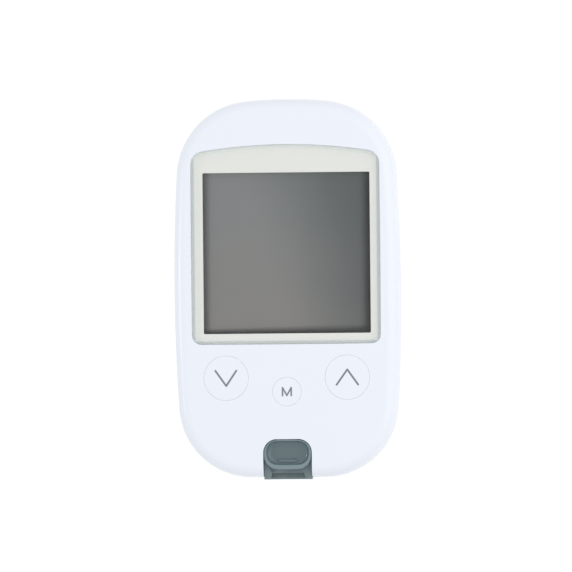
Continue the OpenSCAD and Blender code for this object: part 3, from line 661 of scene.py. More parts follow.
def _wire_wear(wiring: Wiring) -> None:
    """Wires a mask of the outer edges, broken up where hands rub them less."""
    given = wiring.enter(Place="Vector", Amount="Float")
    edge = wiring.remap(wiring.out("ShaderNodeNewGeometry", "Pointiness"), 0.51, 0.58, 0.0, 1.0)
    patches = wiring.remap(wiring.noise(given["Place"], 300.0, 4.0), 0.35, 0.65, 0.5, 1.0)
    paled = wiring.math("MULTIPLY", edge, patches)
    wiring.leave("Float", Mask=wiring.math("MULTIPLY", paled, given["Amount"]))


def _wire_brush(wiring: Wiring) -> None:
    """Wires the fine drawn lines of rolled or drawn metal."""
    given = wiring.enter(Place="Vector", Stretch="Vector")
    inputs = {"Vector": given["Place"], "Vector_001": given["Stretch"]}
    drawn = wiring.out("ShaderNodeVectorMath", "Vector", inputs, operation="MULTIPLY")
    wiring.leave("Float", Line=wiring.noise(drawn, 1.0, 4.0))


# ---- finishes ----

# The depths of reliefs, in metres.
GRAIN_DEPTH = 0.0001
LINE_DEPTH = 0.00005
TRACK_DEPTH = 0.00003


def rgba(colour: Colour) -> tuple[float, float, float, float]:
    """Returns a colour with full alpha."""
    return (*colour, 1.0)


@dataclass(frozen=True)
class Finish:
    """What a piece's surface is. Each kind of finish wires its own material."""

    name: str
    slot: str

    def material(self) -> bpy.types.Material:
        """Returns the finish's material, built on its first use."""
        made = bpy.data.materials.get(self.name)
        if made:
            return made
        made = bpy.data.materials.new(self.name)
        made.use_nodes = True
        made.node_tree.nodes.clear()
        wiring = Wiring(made.node_tree)
        place = wiring.out("ShaderNodeTexCoord", "Object")
        surface = self.wire(wiring, place)
        wiring.add("ShaderNodeOutputMaterial", {"Surface": surface})
        return made

    def wire(self, wiring: Wiring, place: Socket) -> Socket:
        """Wires the shader and returns its output.

        Args:
            wiring: the material's tree.
            place: the piece's own coordinates, in metres.
        """
        raise NotImplementedError

    @staticmethod
    def effect(wiring: Wiring, effect: Effect, place: Any, **amounts: Any) -> Any:
        """Places a shared effect in the material, with its own amounts, and returns its outputs."""
        node = wiring.add("ShaderNodeGroup", node_tree=effect.group())
        wiring.tree.links.new(place, node.inputs["Place"])
        for key, value in amounts.items():
            node.inputs[key].default_value = value
        return node.outputs


@dataclass(frozen=True)
class Moulded(Finish):
    """Injection-moulded plastic or rubber, from high gloss to matt."""

    colour: Colour = (0.8, 0.8, 0.8)
    shade: Colour = (0.76, 0.76, 0.76)
    paled_tone: Colour = (0.85, 0.85, 0.85)
    roughness: Point = (0.2, 0.3)
    fineness: float = 4000.0
    waviness: float = 0.3
    bump: float = 0.04
    wear: float = 0.4
    specks: float = 0.3

    def wire(self, wiring: Wiring, place: Socket) -> Socket:
        """Wires grain, smudges, specks and the edges paled by wear into a plastic."""
        grain = self.effect(wiring, Effect.GRAIN, place, Fineness=self.fineness, Waviness=self.waviness)
        marks = self.effect(wiring, Effect.HANDLING, place, Specks=self.specks)
        tone = wiring.blend(grain["Gloss"], rgba(self.colour), rgba(self.shade))
        paled = wiring.blend(self.paled(wiring, place), tone, rgba(self.paled_tone))
        colour = wiring.blend(marks["Speck"], paled, rgba(self.shade), "MULTIPLY")
        low, high = self.roughness
        dulled = wiring.math("MULTIPLY_ADD", marks["Smudge"], 0.5, grain["Gloss"])
        roughness = wiring.remap(dulled, 0.3, 1.1, low, high)
        normal = wiring.bump(self.bump, GRAIN_DEPTH, grain["Height"])
        return wiring.principled(Base_Color=colour, Roughness=roughness, Normal=normal)

    def paled(self, wiring: Wiring, place: Socket) -> Socket:
        """Returns the mask of what hands wear pale: the outer edges."""
        return self.effect(wiring, Effect.WEAR, place, Amount=self.wear)["Mask"]


@dataclass(frozen=True)
class ThumbPad(Moulded):
    """The ejector's plastic, with a painted highlight all along the rim of its thumb bowl
    and pale wear on its outer edges. Sizes are in millimetres.
    """

    bowl_centre: Point = (0.0, 0.0)
    bowl_half: Point = (5.0, 3.0)
    bowl_corner: float = 2.5
    rim_low: float = 0.0
    fade: float = 0.25

    def paled(self, wiring: Wiring, place: Socket) -> Socket:
        """Returns the mask of the outer edges' wear and of the painted highlight along the rim."""
        # Painted highlight: the rim round the bowl is painted pale as if lit, from its top down to rim_low.
        axes = wiring.axes(place)
        reach = []
        for axis, centre, half in zip("XY", self.bowl_centre, self.bowl_half):
            off = wiring.math("ABSOLUTE", wiring.math("SUBTRACT", axes[axis], centre * MM))
            past = wiring.math("SUBTRACT", off, (half - self.bowl_corner) * MM)
            reach.append(wiring.math("MAXIMUM", past, 0.0))
        square = wiring.math("MULTIPLY_ADD", reach[0], reach[0], wiring.math("MULTIPLY", reach[1], reach[1]))
        beyond = wiring.math("SUBTRACT", wiring.math("SQRT", square), self.bowl_corner * MM)
        outside = wiring.remap(beyond, -self.fade * MM, 0.0, 0.0, 1.0)
        rim_high = self.rim_low + 2 * self.fade
        high = wiring.remap(axes["Z"], self.rim_low * MM, rim_high * MM, 0.0, 1.0)
        return wiring.math("MAXIMUM", wiring.math("MULTIPLY", outside, high), super().paled(wiring, place))


@dataclass(frozen=True)
class Metal(Finish):
    """Drawn or rolled metal."""

    colour: Colour = (0.62, 0.62, 0.63)
    tarnish: Colour = (0.45, 0.44, 0.43)
    roughness: Point = (0.22, 0.42)
    stretch: tuple[float, float, float] = (60.0, 6000.0, 6000.0)
    bump: float = 0.05

    def wire(self, wiring: Wiring, place: Socket) -> Socket:
        """Wires drawn lines and a light tarnish into a metal."""
        lines = self.effect(wiring, Effect.BRUSH, place, Stretch=self.stretch)
        marks = self.effect(wiring, Effect.HANDLING, place, Specks=0.2)
        stain = wiring.math("MULTIPLY", marks["Smudge"], 0.35)
        colour = wiring.blend(stain, rgba(self.colour), rgba(self.tarnish))
        low, high = self.roughness
        roughness = wiring.remap(lines["Line"], 0.3, 0.7, low, high)
        normal = wiring.bump(self.bump, LINE_DEPTH, lines["Line"])
        return wiring.principled(Base_Color=colour, Roughness=roughness, Metallic=1.0, Normal=normal)


@dataclass(frozen=True)
class ClearLens(Finish):
    """Clear acrylic with matt edges, and with the faint waviness and smudges of a touched window.

    Its index is below the acrylic's 1.49, so that it reflects as little as its anti-glare coat does.
    """

    tint: Colour = (0.97, 0.98, 0.98)
    index: float = 1.33
    edge_roughness: float = 0.4

    def wire(self, wiring: Wiring, place: Socket) -> Socket:
        """Wires a clear plastic."""
        grain = self.effect(wiring, Effect.GRAIN, place, Fineness=500.0, Waviness=0.2)
        marks = self.effect(wiring, Effect.HANDLING, place, Specks=0.0)
        smudged = wiring.remap(marks["Smudge"], 0.0, 1.0, 0.0, 0.03)
        upright = wiring.axes(wiring.out("ShaderNodeTexCoord", "Normal"))["Z"]
        ground = wiring.remap(upright, 0.9, 0.99, self.edge_roughness, 0.0)
        clear = wiring.principled(
            Base_Color=rgba(self.tint),
            Roughness=wiring.math("MAXIMUM", smudged, ground),
            IOR=self.index,
            Transmission_Weight=1.0,
            Normal=wiring.bump(0.01, GRAIN_DEPTH, grain["Height"]),
        )
        passed = wiring.out("ShaderNodeBsdfTransparent", "BSDF", {"Color": rgba(self.tint)})
        path = wiring.add("ShaderNodeLightPath").outputs
        light = wiring.math("MAXIMUM", path["Is Shadow Ray"], path["Is Diffuse Ray"])
        return wiring.either(light, clear, passed)


@dataclass(frozen=True)
class AdhesiveRing(Finish):
    """The adhesive ring under the lens: grey at its outer edge, pale inside and all along the arch.

    The grey is the ring's own grey with painted shade of the window's recess wall on it. The pale
    inside and along the arch is painted where that shade is left out. The edge's fade is given as two
    distances from the window's edge, in millimetres.
    """

    half_width: float = 10.0
    low_y: float = -10.0
    arch_y: float = 10.0
    colour: Colour = (0.6, 0.615, 0.605)
    pale: Colour = (0.81, 0.82, 0.78)
    edge_fade: Point = (0.7, 1.05)
    arch_fade: float = 3.0

    def wire(self, wiring: Wiring, place: Socket) -> Socket:
        """Wires a matt rubber, with painted shade at its outer edge that is left out along the arch."""
        grain = self.effect(wiring, Effect.GRAIN, place, Fineness=6000.0, Waviness=0.3)
        axes = wiring.axes(place)
        side_gap = wiring.math("SUBTRACT", self.half_width * MM, wiring.math("ABSOLUTE", axes["X"]))
        low_gap = wiring.math("SUBTRACT", axes["Y"], self.low_y * MM)
        gap = wiring.math("MINIMUM", side_gap, low_gap)
        # Painted shade: grey at the outer edge, fading to pale inwards and towards the arch.
        inside = wiring.remap(gap, self.edge_fade[0] * MM, self.edge_fade[1] * MM, 0.0, 1.0)
        arch_start = (self.arch_y - self.arch_fade) * MM
        arch = wiring.remap(axes["Y"], arch_start, self.arch_y * MM, 0.0, 1.0)
        tone = wiring.blend(wiring.math("MAXIMUM", inside, arch), rgba(self.colour), rgba(self.pale))
        normal = wiring.bump(0.1, GRAIN_DEPTH, grain["Height"])
        roughness = wiring.remap(grain["Gloss"], 0.3, 0.7, 0.5, 0.7)
        return wiring.principled(Base_Color=tone, Roughness=roughness, Normal=normal)


@dataclass(frozen=True)
class DisplayGlass(Finish):
    """Unlit liquid crystal glass, with painted shade at three edges and a painted reflection on its
    polariser.

    The painted shade stands for the shadow of the deep frame's walls on the glass, laid over a little of the
    glass's own dark border. Each edge's shade is given as (width in millimetres, share of light lost at the
    edge). The tone runs from warm at the lower left to dark and cool at the upper right. That tone is a
    painted reflection of the room in the lens; only its cloudy noise is the polariser's own uneven tint.
    """

    low: Point = (0.0, 0.0)
    high: Point = (1.0, 1.0)
    warm: Colour = (0.211, 0.2, 0.192)
    pale: Colour = (0.199, 0.203, 0.204)
    cool: Colour = (0.083, 0.093, 0.093)
    left_painted_shade: Point = (2.4, 0.68)
    right_painted_shade: Point = (3.0, 0.93)
    low_painted_shade: Point = (1.8, 0.93)
    low_shade_growth: float = 0.6

    def wire(self, wiring: Wiring, place: Socket) -> Socket:
        """Wires the painted reflection across the glass and the painted shade along its edges."""
        axes = wiring.axes(place)
        x, y = axes["X"], axes["Y"]
        width = (self.high[0] - self.low[0]) * MM
        length = (self.high[1] - self.low[1]) * MM
        right = wiring.math("MULTIPLY_ADD", x, 1 / width, -self.low[0] * MM / width)
        up = wiring.math("MULTIPLY_ADD", y, 1 / length, -self.low[1] * MM / length)
        # Painted reflection: warm at the lower left, dark and cool at the upper right, over random tint.
        cloud = wiring.noise(place, 60.0, 1.0)
        corner = wiring.math("MULTIPLY_ADD", up, 0.25, right)
        share = wiring.math("MULTIPLY_ADD", cloud, 0.12, corner)
        reflection_rise = wiring.remap(wiring.math("ADD", up, cloud), 0.55, 1.3, 0.0, 1.0)
        tone = wiring.blend(reflection_rise, rgba(self.warm), rgba(self.pale))
        tone = wiring.blend(wiring.remap(share, 0.5, 1.25, 0.0, 1.0), tone, rgba(self.cool))
        # Painted shade of the frame's walls along three edges, the lower one wider towards the right.
        growth = wiring.math("MULTIPLY_ADD", right, self.low_shade_growth, 1.0)
        low_gap = wiring.math("DIVIDE", wiring.math("SUBTRACT", y, self.low[1] * MM), growth)
        light: Any = 1.0
        for gap, (reach, lost) in (
            (wiring.math("SUBTRACT", x, self.low[0] * MM), self.left_painted_shade),
            (wiring.math("SUBTRACT", self.high[0] * MM, x), self.right_painted_shade),
            (low_gap, self.low_painted_shade),
        ):
            light = wiring.math("MULTIPLY", light, wiring.remap(gap, 0.0, reach * MM, 1 - lost, 1.0))
        dimmed = {"Vector": tone, "Scale": light}
        colour = wiring.out("ShaderNodeVectorMath", "Vector", dimmed, operation="SCALE")
        roughness = wiring.remap(cloud, 0.3, 0.7, 0.28, 0.36)
        return wiring.principled(Base_Color=colour, Roughness=roughness, Specular_IOR_Level=0.2)


@dataclass(frozen=True)
class BoardLaminate(Finish):
    """A circuit board's glass laminate under solder mask, with its tracks showing through."""

    mask: Colour = (0.02, 0.13, 0.06)
    track: Colour = (0.04, 0.24, 0.11)

    def wire(self, wiring: Wiring, place: Socket) -> Socket:
        """Wires square tracks and the weave of the laminate."""
        squares = {"Vector": place, "Scale": 260.0}
        cells = wiring.out("ShaderNodeTexVoronoi", "Distance", squares, distance="CHEBYCHEV", feature="F1")
        track = wiring.remap(wiring.math("PINGPONG", cells, 0.12), 0.06, 0.08, 0.0, 1.0)
        cloth = {"Vector": place, "Scale": 900.0, "Distortion": 1.0}
        weave = wiring.out("ShaderNodeTexWave", "Fac", cloth)
        colour = wiring.blend(track, rgba(self.mask), rgba(self.track))
        height = wiring.math("MULTIPLY_ADD", weave, 0.15, track)
        roughness = wiring.remap(weave, 0.0, 1.0, 0.3, 0.42)
        normal = wiring.bump(0.3, TRACK_DEPTH, height)
        return wiring.principled(Base_Color=colour, Roughness=roughness, Normal=normal)


@dataclass(frozen=True)
class CellSleeve(Finish):
    """The printed film round a dry cell: one plain colour with a paler band at the nub's end."""

    colour: Colour = (0.03, 0.09, 0.06)
    band: Colour = (0.62, 0.64, 0.6)
    nub_end: float = 0.0
    band_length: float = 9.0
    way: float = 1.0

    def wire(self, wiring: Wiring, place: Socket) -> Socket:
        """Wires the film's two plain colours and its gloss."""
        marks = self.effect(wiring, Effect.HANDLING, place, Specks=0.3)
        y = wiring.axes(place)["Y"]
        inward = wiring.math("MULTIPLY_ADD", y, -self.way, self.way * self.nub_end * MM)
        film = wiring.remap(inward, self.band_length * MM, (self.band_length + 0.1) * MM, 1.0, 0.0)
        colour = wiring.blend(film, rgba(self.colour), rgba(self.band))
        roughness = wiring.remap(marks["Smudge"], 0.0, 1.0, 0.2, 0.36)
        return wiring.principled(Base_Color=colour, Roughness=roughness, Metallic=0.35)


@dataclass(frozen=True)
class StudioPaper(Finish):
    """The white sheet that the meter lies on. To the camera it stays white, apart from the shadow."""

    bounce: float = 0.8
    shadow_share: float = 0.28
    glow: float = 0.81

    def wire(self, wiring: Wiring, place: Socket) -> Socket:
        """Wires a plain white sheet that is bright to the eye and plain to the light."""
        fibre = wiring.noise(place, 400.0, 2.0)
        tone = wiring.blend(fibre, rgba((self.bounce,) * 3), rgba((self.bounce * 0.99,) * 3))
        paper = wiring.out("ShaderNodeBsdfDiffuse", "BSDF", {"Color": tone})
        shadow = wiring.out("ShaderNodeBsdfDiffuse", "BSDF", {"Color": rgba((self.shadow_share,) * 3)})
        glow = wiring.out("ShaderNodeEmission", "Emission", {"Strength": self.glow})
        seen = wiring.out("ShaderNodeAddShader", "Shader", {"Shader": shadow, "Shader_001": glow})
        return wiring.either(seen_directly(wiring), paper, seen)


def seen_directly(wiring: Wiring) -> Socket:
    """Returns a mask that is 1 for rays that show the background: from the camera, a gloss or a glass."""
    path = wiring.add("ShaderNodeLightPath").outputs
    seen = wiring.math("MAXIMUM", path["Is Camera Ray"], path["Is Glossy Ray"])
    return wiring.math("MAXIMUM", seen, path["Is Transmission Ray"])


class Finishes:
    """Every finish on the meter, by what it is on."""

    cover = Moulded(
        "white_gloss_cover", "cover",
        colour=(0.838, 0.877, 0.952), shade=(0.824, 0.863, 0.94), paled_tone=(0.86, 0.89, 0.95),
        roughness=(0.26, 0.34), bump=0.02, wear=0.3, specks=0.15,
    )
    button = Moulded(
        "white_gloss_button", "button",
        colour=(0.84, 0.879, 0.952), shade=(0.828, 0.867, 0.94), paled_tone=(0.87, 0.9, 0.95),
        roughness=(0.26, 0.34), bump=0.02, wear=0.5, specks=0.1,
    )
    sign = Moulded(
        "grey_sign_ink", "button",
        colour=(0.19, 0.21, 0.245), shade=(0.215, 0.235, 0.27), paled_tone=(0.25, 0.27, 0.3),
        roughness=(0.35, 0.5), fineness=9000.0, bump=0.1, wear=0.2, specks=0.0,
    )
    lens = ClearLens("clear_lens", "lens")
    frame = Moulded(
        "cream_frame", "bezel",
        colour=(0.84, 0.826, 0.785), shade=(0.82, 0.806, 0.765), paled_tone=(0.85, 0.84, 0.8),
        roughness=(0.4, 0.55), fineness=3000.0, bump=0.12, wear=0.1,
    )
    holder = Moulded(
        "pale_holder", "holder",
        colour=(0.72, 0.72, 0.7), shade=(0.66, 0.66, 0.64), paled_tone=(0.8, 0.8, 0.78),
        roughness=(0.4, 0.6),
    )
    elastomer = Moulded(
        "striped_elastomer", "elastomer",
        colour=(0.06, 0.07, 0.08), shade=(0.03, 0.035, 0.04), paled_tone=(0.1, 0.1, 0.11),
        roughness=(0.6, 0.8), fineness=6000.0, bump=0.2,
    )
    board = BoardLaminate("board_laminate", "board")
    dark = Moulded(
        "black_epoxy", "black_plastic",
        colour=(0.02, 0.02, 0.021), shade=(0.03, 0.03, 0.031), paled_tone=(0.07, 0.07, 0.07),
        roughness=(0.4, 0.6), fineness=7000.0, bump=0.25,
    )
    board_part = Moulded(
        "ceramic_parts", "board_parts",
        colour=(0.42, 0.33, 0.22), shade=(0.3, 0.24, 0.17), paled_tone=(0.62, 0.6, 0.55),
        roughness=(0.3, 0.5),
    )
    switch = Moulded(
        "switch_base", "switch",
        colour=(0.12, 0.12, 0.125), shade=(0.09, 0.09, 0.095), paled_tone=(0.3, 0.3, 0.3),
        roughness=(0.35, 0.5), fineness=6000.0, bump=0.2,
    )
    port = Moulded(
        "slate_port", "port",
        colour=(0.1, 0.142, 0.155), shade=(0.088, 0.128, 0.14), paled_tone=(0.2, 0.265, 0.285),
        roughness=(0.26, 0.36), fineness=5000.0, bump=0.1, wear=0.6,
    )
    connector = Moulded(
        "ivory_connector", "connector",
        colour=(0.7, 0.66, 0.52), shade=(0.64, 0.6, 0.47), paled_tone=(0.78, 0.75, 0.65),
        roughness=(0.4, 0.55),
    )
    gold = Metal(
        "gold_contact", "gold_contact", colour=(0.9, 0.66, 0.28),
        tarnish=(0.7, 0.5, 0.24), roughness=(0.15, 0.3),
    )
    spring = Metal("spring_wire", "spring_wire", stretch=(3000.0, 3000.0, 3000.0))
    sheet = Metal("nickel_sheet", "sheet_steel", colour=(0.68, 0.67, 0.64), stretch=(80.0, 6000.0, 6000.0))
    screw = Metal("plated_screw", "screw", colour=(0.55, 0.55, 0.57), roughness=(0.25, 0.4))
    can = Metal("cell_can", "cell", colour=(0.66, 0.65, 0.63), roughness=(0.2, 0.35))


# ---- Geometry Nodes trees ----


class Pattern(Enum):
    """The Geometry Nodes trees that make what repeats."""

    WOUND_WIRE = "wound_wire"
    SET_ON_POINTS = "set_on_points"
    GRIP_GROOVES = "grip_grooves"

    def tree(self) -> bpy.types.NodeTree:
        """Returns the pattern's tree, built on its first use."""
        lay = {
            Pattern.WOUND_WIRE: _lay_wound_wire,
            Pattern.SET_ON_POINTS: _lay_set_on_points,
            Pattern.GRIP_GROOVES: _lay_grip_grooves,
        }[self]
        return built_once(self.value, "GeometryNodeTree", lay)

    def make(self, mesh: Mesh, **values: Any) -> Mesh:
        """Runs the tree on a mesh and returns the plain mesh that it makes.

        Args:
            mesh: the mesh that goes in, in millimetres.
            values: the tree's inputs, with underscores for the spaces in their names.
        """

        def add(work: Object) -> None:
            """Adds the tree with its inputs set by their identifiers."""
            modifier = work.modifiers.new(self.value, "NODES")
            modifier.node_group = self.tree()
            names = {key.replace("_", " "): value for key, value in values.items()}
            for item in self.tree().interface.items_tree:
                if item.in_out == "INPUT" and item.name in names:
                    modifier[item.identifier] = names[item.name]

        return evaluated_mesh(mesh, add)


def _close_tree(wiring: Wiring, geometry: Any, material: Any) -> None:
    """Ends a tree in Realize Instances and Set Material."""
    real = wiring.out("GeometryNodeRealizeInstances", "Geometry", {"Geometry": geometry})
    inputs = {"Geometry": real, "Material": material}
    wiring.leave("Geometry", Geometry=wiring.out("GeometryNodeSetMaterial", "Geometry", inputs))


def _lay_wound_wire(wiring: Wiring) -> None:
    """Lays a wire wound about the Y axis, with a radius at each end."""
    given = wiring.enter(
        Geometry="Geometry",
        Turns="Float",
        Steps="Int",
        Start_Radius="Float",
        End_Radius="Float",
        Length="Float",
        Wire_Radius="Float",
        Place="Vector",
        Material="Material",
    )
    turns = {
        "Resolution": given["Steps"],
        "Rotations": given["Turns"],
        "Start Radius": given["Start Radius"],
        "End Radius": given["End Radius"],
        "Height": given["Length"],
    }
    spiral = wiring.out("GeometryNodeCurveSpiral", "Curve", turns)
    circle = {"Resolution": 14, "Radius": given["Wire Radius"]}
    section = wiring.out("GeometryNodeCurvePrimitiveCircle", "Curve", circle)
    drawn = {"Curve": spiral, "Profile Curve": section, "Fill Caps": True}
    wire = wiring.out("GeometryNodeCurveToMesh", "Mesh", drawn)
    move = {"Geometry": wire, "Translation": given["Place"], "Rotation": (-math.pi / 2, 0.0, 0.0)}
    laid = wiring.out("GeometryNodeTransform", "Geometry", move)
    _close_tree(wiring, laid, given["Material"])


def _lay_set_on_points(wiring: Wiring) -> None:
    """Lays one piece on each point, turned about Z by a seeded chance."""
    given = wiring.enter(
        Geometry="Geometry", Piece="Object", Turn_By_Chance="Float", Seed="Int", Material="Material"
    )
    piece = wiring.out("GeometryNodeObjectInfo", "Geometry", {"Object": given["Piece"]})
    chance = {"Min_001": 0.0, "Max_001": given["Turn By Chance"], "Seed": given["Seed"]}
    angle = wiring.out("FunctionNodeRandomValue", "Value_001", chance, data_type="FLOAT")
    turn = wiring.out("ShaderNodeCombineXYZ", "Vector", {"Z": angle})
    copies = {"Points": given["Geometry"], "Instance": piece, "Rotation": turn}
    laid = wiring.out("GeometryNodeInstanceOnPoints", "Instances", copies)
    _close_tree(wiring, laid, given["Material"])


def _lay_grip_grooves(wiring: Wiring) -> None:
    """Cuts a row of grooves into a piece, one groove tool after the other along Y."""
    given = wiring.enter(
        Geometry="Geometry", Tool="Object", Grooves="Int", First="Vector", Step="Vector", Material="Material"
    )
    tool = wiring.out("GeometryNodeObjectInfo", "Geometry", {"Object": given["Tool"]})
    line = {"Count": given["Grooves"], "Start Location": given["First"], "Offset": given["Step"]}
    row = wiring.out("GeometryNodeMeshLine", "Mesh", line)
    tools = wiring.out("GeometryNodeInstanceOnPoints", "Instances", {"Points": row, "Instance": tool})
    real = wiring.out("GeometryNodeRealizeInstances", "Geometry", {"Geometry": tools})
    cut = wiring.add("GeometryNodeMeshBoolean", {"Mesh 1": given["Geometry"]}, operation="DIFFERENCE")
    wiring.tree.links.new(real, cut.inputs["Mesh 2"])
    _close_tree(wiring, cut.outputs["Mesh"], given["Material"])


def wound_wire(box: Box, axis: Vector, wire: float, radii: Point, turns: float, steps: int) -> Mesh:
    """Returns a wire spring along Y by the Geometry Nodes tree for it.

    Args:
        box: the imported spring's box, whose length it fills.
        axis: a point on the spring's axis.
        wire: the wire's diameter.
        radii: the winding's radius at its -Y end and at its +Y end.
        turns: the number of turns.
        steps: the number of chords in a turn.
    """
    return Pattern.WOUND_WIRE.make(
        bpy.data.meshes.new("empty"),
        Turns=turns,
        Steps=steps,
        Start_Radius=radii[0],
        End_Radius=radii[1],
        Length=box.size.y - wire,
        Wire_Radius=wire / 2,
        Place=(axis.x, box.low.y + wire / 2, axis.z),
        Material=Finishes.spring.material(),
    )


def set_on_points(
    piece: Mesh, places: Sequence[Sequence[float]], finish: Finish, chance: float = 0.0, seed: int = 0
) -> Mesh:
    """Returns copies of a piece set on points by the Geometry Nodes tree for it.

    Args:
        piece: the piece that repeats.
        places: the points, in millimetres.
        finish: what its surface is.
        chance: the largest angle, in radians, by which chance turns a copy.
        seed: the seed of that chance.
    """
    points = bpy.data.meshes.new("points")
    points.from_pydata([tuple(place) for place in places], [], [])
    holder = linked("repeated", piece)
    made = Pattern.SET_ON_POINTS.make(
        points, Piece=holder, Turn_By_Chance=chance, Seed=seed, Material=finish.material()
    )
    bpy.data.objects.remove(holder)
    return made


# ---- the meter's sub-assemblies ----


@dataclass
class Covers:
    """The two moulded covers: their shared outline, walls and edges, and all their openings.

    A flare is the radius of a rim, a pilot is the hole that a screw bites in, and the bosses of the two
    covers meet a step above the seam.
    """

    side_radius: float = 520.0
    top_end_radius: float = 115.0
    low_end_radius: float = 900.0
    top_corner: float = 20.0
    low_corner: float = 19.0
    wall: float = 2.0
    face_edge: float = 3.0
    back_edge: float = 5.5
    side_draft: float = 0.45
    seam_gap: float = 0.16
    seam_edge: float = 0.12
    lip_height: float = 1.5
    lip_thickness: float = 0.9
    fit: float = 0.1
    sunk: float = 0.5
    rim_wall: float = 1.0
    rim_drop: float = 1.7
    window_flare: float = 0.16
    hole_flare: float = 0.08
    boss_diameter: float = 5.4
    boss_step: float = 0.5
    boss_gap: float = 0.05
    standoff_diameter: float = 4.2
    case_pilot: float = 2.24
    case_pilot_spare: float = 1.0
    case_hole: float = 2.5
    case_recess: float = 4.8
    recess_flare: float = 0.2
    board_pilot: float = 1.64
    board_pilot_roof: float = 0.4
    bay_wall: float = 1.2
    rib_half: float = 0.5
    scoop_radius: float = 12.0
    scoop_depth: float = 1.0
    scoop_place: float = 2.6
    front: Box = field(default_factory=lambda: Box.of("front_cover"))
    rear: Box = field(default_factory=lambda: Box.of("rear_cover"))
    board: Box = field(default_factory=lambda: Box.of("circuit_board"))

    @property
    def outline(self) -> Bowed:
        """The body's outline at its widest."""
        return Bowed(
            self.rear.size.x / 2,
            self.rear.size.y / 2,
            self.side_radius,
            (self.top_end_radius, self.low_end_radius),
            (self.top_corner, self.low_corner),
        )

    @property
    def top(self) -> float:
        """The height of the face."""
        return self.front.high.z

    @property
    def ceiling(self) -> float:
        """The height of the front cover's inner face."""
        return self.top - self.wall

    @staticmethod
    def screw_points(node: str) -> list[Point]:
        """Returns the places of a packed set of screws."""
        return [(box.centre.x, box.centre.y) for box in solids_of(node)]

    def face_height(self, x: float, y: float) -> float:
        """Returns the height of the outer face near the strip end, where its edge rolls down."""
        end = self.outline.half_length - x * x / (2 * self.low_end_radius)
        inset = end - abs(y)
        into = min(max((self.side_draft + self.face_edge - inset) / self.face_edge, 0.0), 0.985)
        return self.top - self.face_edge * (1 - math.sqrt(1 - into * into))

    def front_shell(self) -> Mesh:
        """Returns the front cover's bare shell, from its ceiling round its lip to its face."""
        inner = self.face_edge - self.wall / 2
        low = self.front.low.z
        lip = low + self.lip_height + self.fit
        rebate = self.wall - self.lip_thickness
        inside = [
            (self.side_draft + self.wall + d, self.ceiling - z) for d, z in reversed(round_edge(inner, 6))
        ]
        seam = [(d, low + z) for d, z in reversed(round_edge(self.seam_edge, 3))]
        outside = [(self.side_draft + d, self.top - z) for d, z in round_edge(self.face_edge, 14)]
        profile = inside + [(self.wall, lip), (rebate, lip), (rebate, low)] + seam + outside
        return loft([lift(self.outline.inset(d), z) for d, z in profile])

    def rear_shell(self) -> Mesh:
        """Returns the rear cover's bare shell, from its back round its lip to its floor."""
        inner = self.back_edge - self.wall
        seam = self.front.low.z - self.seam_gap
        rebate = self.wall - self.lip_thickness + self.fit
        outside = [(self.side_draft + d, z) for d, z in reversed(round_edge(self.back_edge, 14))]
        edge = [(d, seam - z) for d, z in round_edge(self.seam_edge, 3)]
        lip = [(rebate, seam), (rebate, seam + self.lip_height), (self.wall, seam + self.lip_height)]
        inside = [(self.side_draft + self.wall + d, self.wall + z) for d, z in round_edge(inner, 6)]
        profile = outside + edge + lip + inside
        return loft([lift(self.outline.inset(d), z) for d, z in profile])

    def notch(self, port: "StripPort") -> Mesh:
        """Returns the cutter for the port's notch, with its rim following the rolled edge of the face."""
        half_width, radius, top_y = port.opening_width / 2, port.opening_corner, port.opening_y
        low_y = -self.outline.half_length - 3
        rows, steps, rim = 22, 12, 0.1
        length = top_y - radius - low_y
        side = [low_y + length * (1 - (1 - i / rows) ** 1.6) for i in range(rows)]

        def path(out: float) -> list[Point]:
            """Returns the notch's outline, drawn out by a distance."""
            x, r = half_width + out, radius + out
            right = [(x, y) for y in side] + arc((x - r, top_y - radius), r, 0, 90, steps)
            return right + [(x - r, top_y + out)] + [(-px, py) for px, py in reversed(right)]

        flat, wide = path(0), path(rim * 1.05)
        rings = [lift(flat, port.box.low.z - 0.1)]
        for d, z in round_edge(rim, 5)[:-1]:
            rings.append([(*p, self.face_height(*q) - z) for p, q in zip(path(d), flat)])
        rings.append([(*p, self.face_height(*q) + 0.5) for p, q in zip(wide, flat)])
        rings.append(lift(wide, self.top + 1))
        return loft(rings)

    def build_front(self, display: "DisplayStack", keypad: "Keypad", port: "StripPort") -> Object:
        """Makes the front cover.

        Args:
            display: the display stack, whose window is let into the face.
            keypad: the buttons, whose holes are in the face.
            port: the strip port, whose notch is in the face.
        """
        window = display.window
        ledge = display.gasket.low.z
        rim_low = ledge - self.rim_drop
        roof = self.ceiling + self.sunk
        case_points, board_points = self.screw_points("case_screws"), self.screw_points("board_screws")
        rim = window.inset(-self.rim_wall)
        joined = [loft([lift(rim, rim_low), lift(rim, roof)])]
        boss_low = self.rear_boss_top() + self.boss_gap
        joined += [post(p, self.boss_diameter, boss_low, roof) for p in case_points]
        joined += [post(p, self.standoff_diameter, self.board.high.z, roof) for p in board_points]
        inner = window.inset(display.gasket_width)
        cuts = [
            cutter(window, ledge, self.top, self.window_flare),
            loft([lift(inner, rim_low - PAST), lift(inner, ledge + self.sunk)]),
            self.notch(port),
        ]
        for button in keypad.buttons:
            hole = Disc(button.centre, button.diameter + 2 * keypad.gap, 120)
            cuts.append(cutter(hole, self.ceiling - PAST, self.top, self.hole_flare))
        screw = solids_of("case_screws")[0]
        tip = screw.high.z + self.case_pilot_spare
        cuts += [post(p, self.case_pilot, screw.low.z, tip) for p in case_points]
        low, high = self.board.high.z - PAST, self.ceiling - self.board_pilot_roof
        cuts += [post(p, self.board_pilot, low, high) for p in board_points]
        mesh = combine(combine(self.front_shell(), joined, Combine.JOIN), cuts, Combine.CUT)
        return add_piece(mesh, "front_cover_moulding", "body", Finishes.cover, ["front_cover"])

    def rear_boss_top(self) -> float:
        """Returns the height at which the bosses of the two covers meet."""
        return self.front.low.z - self.seam_gap / 2 + self.boss_step

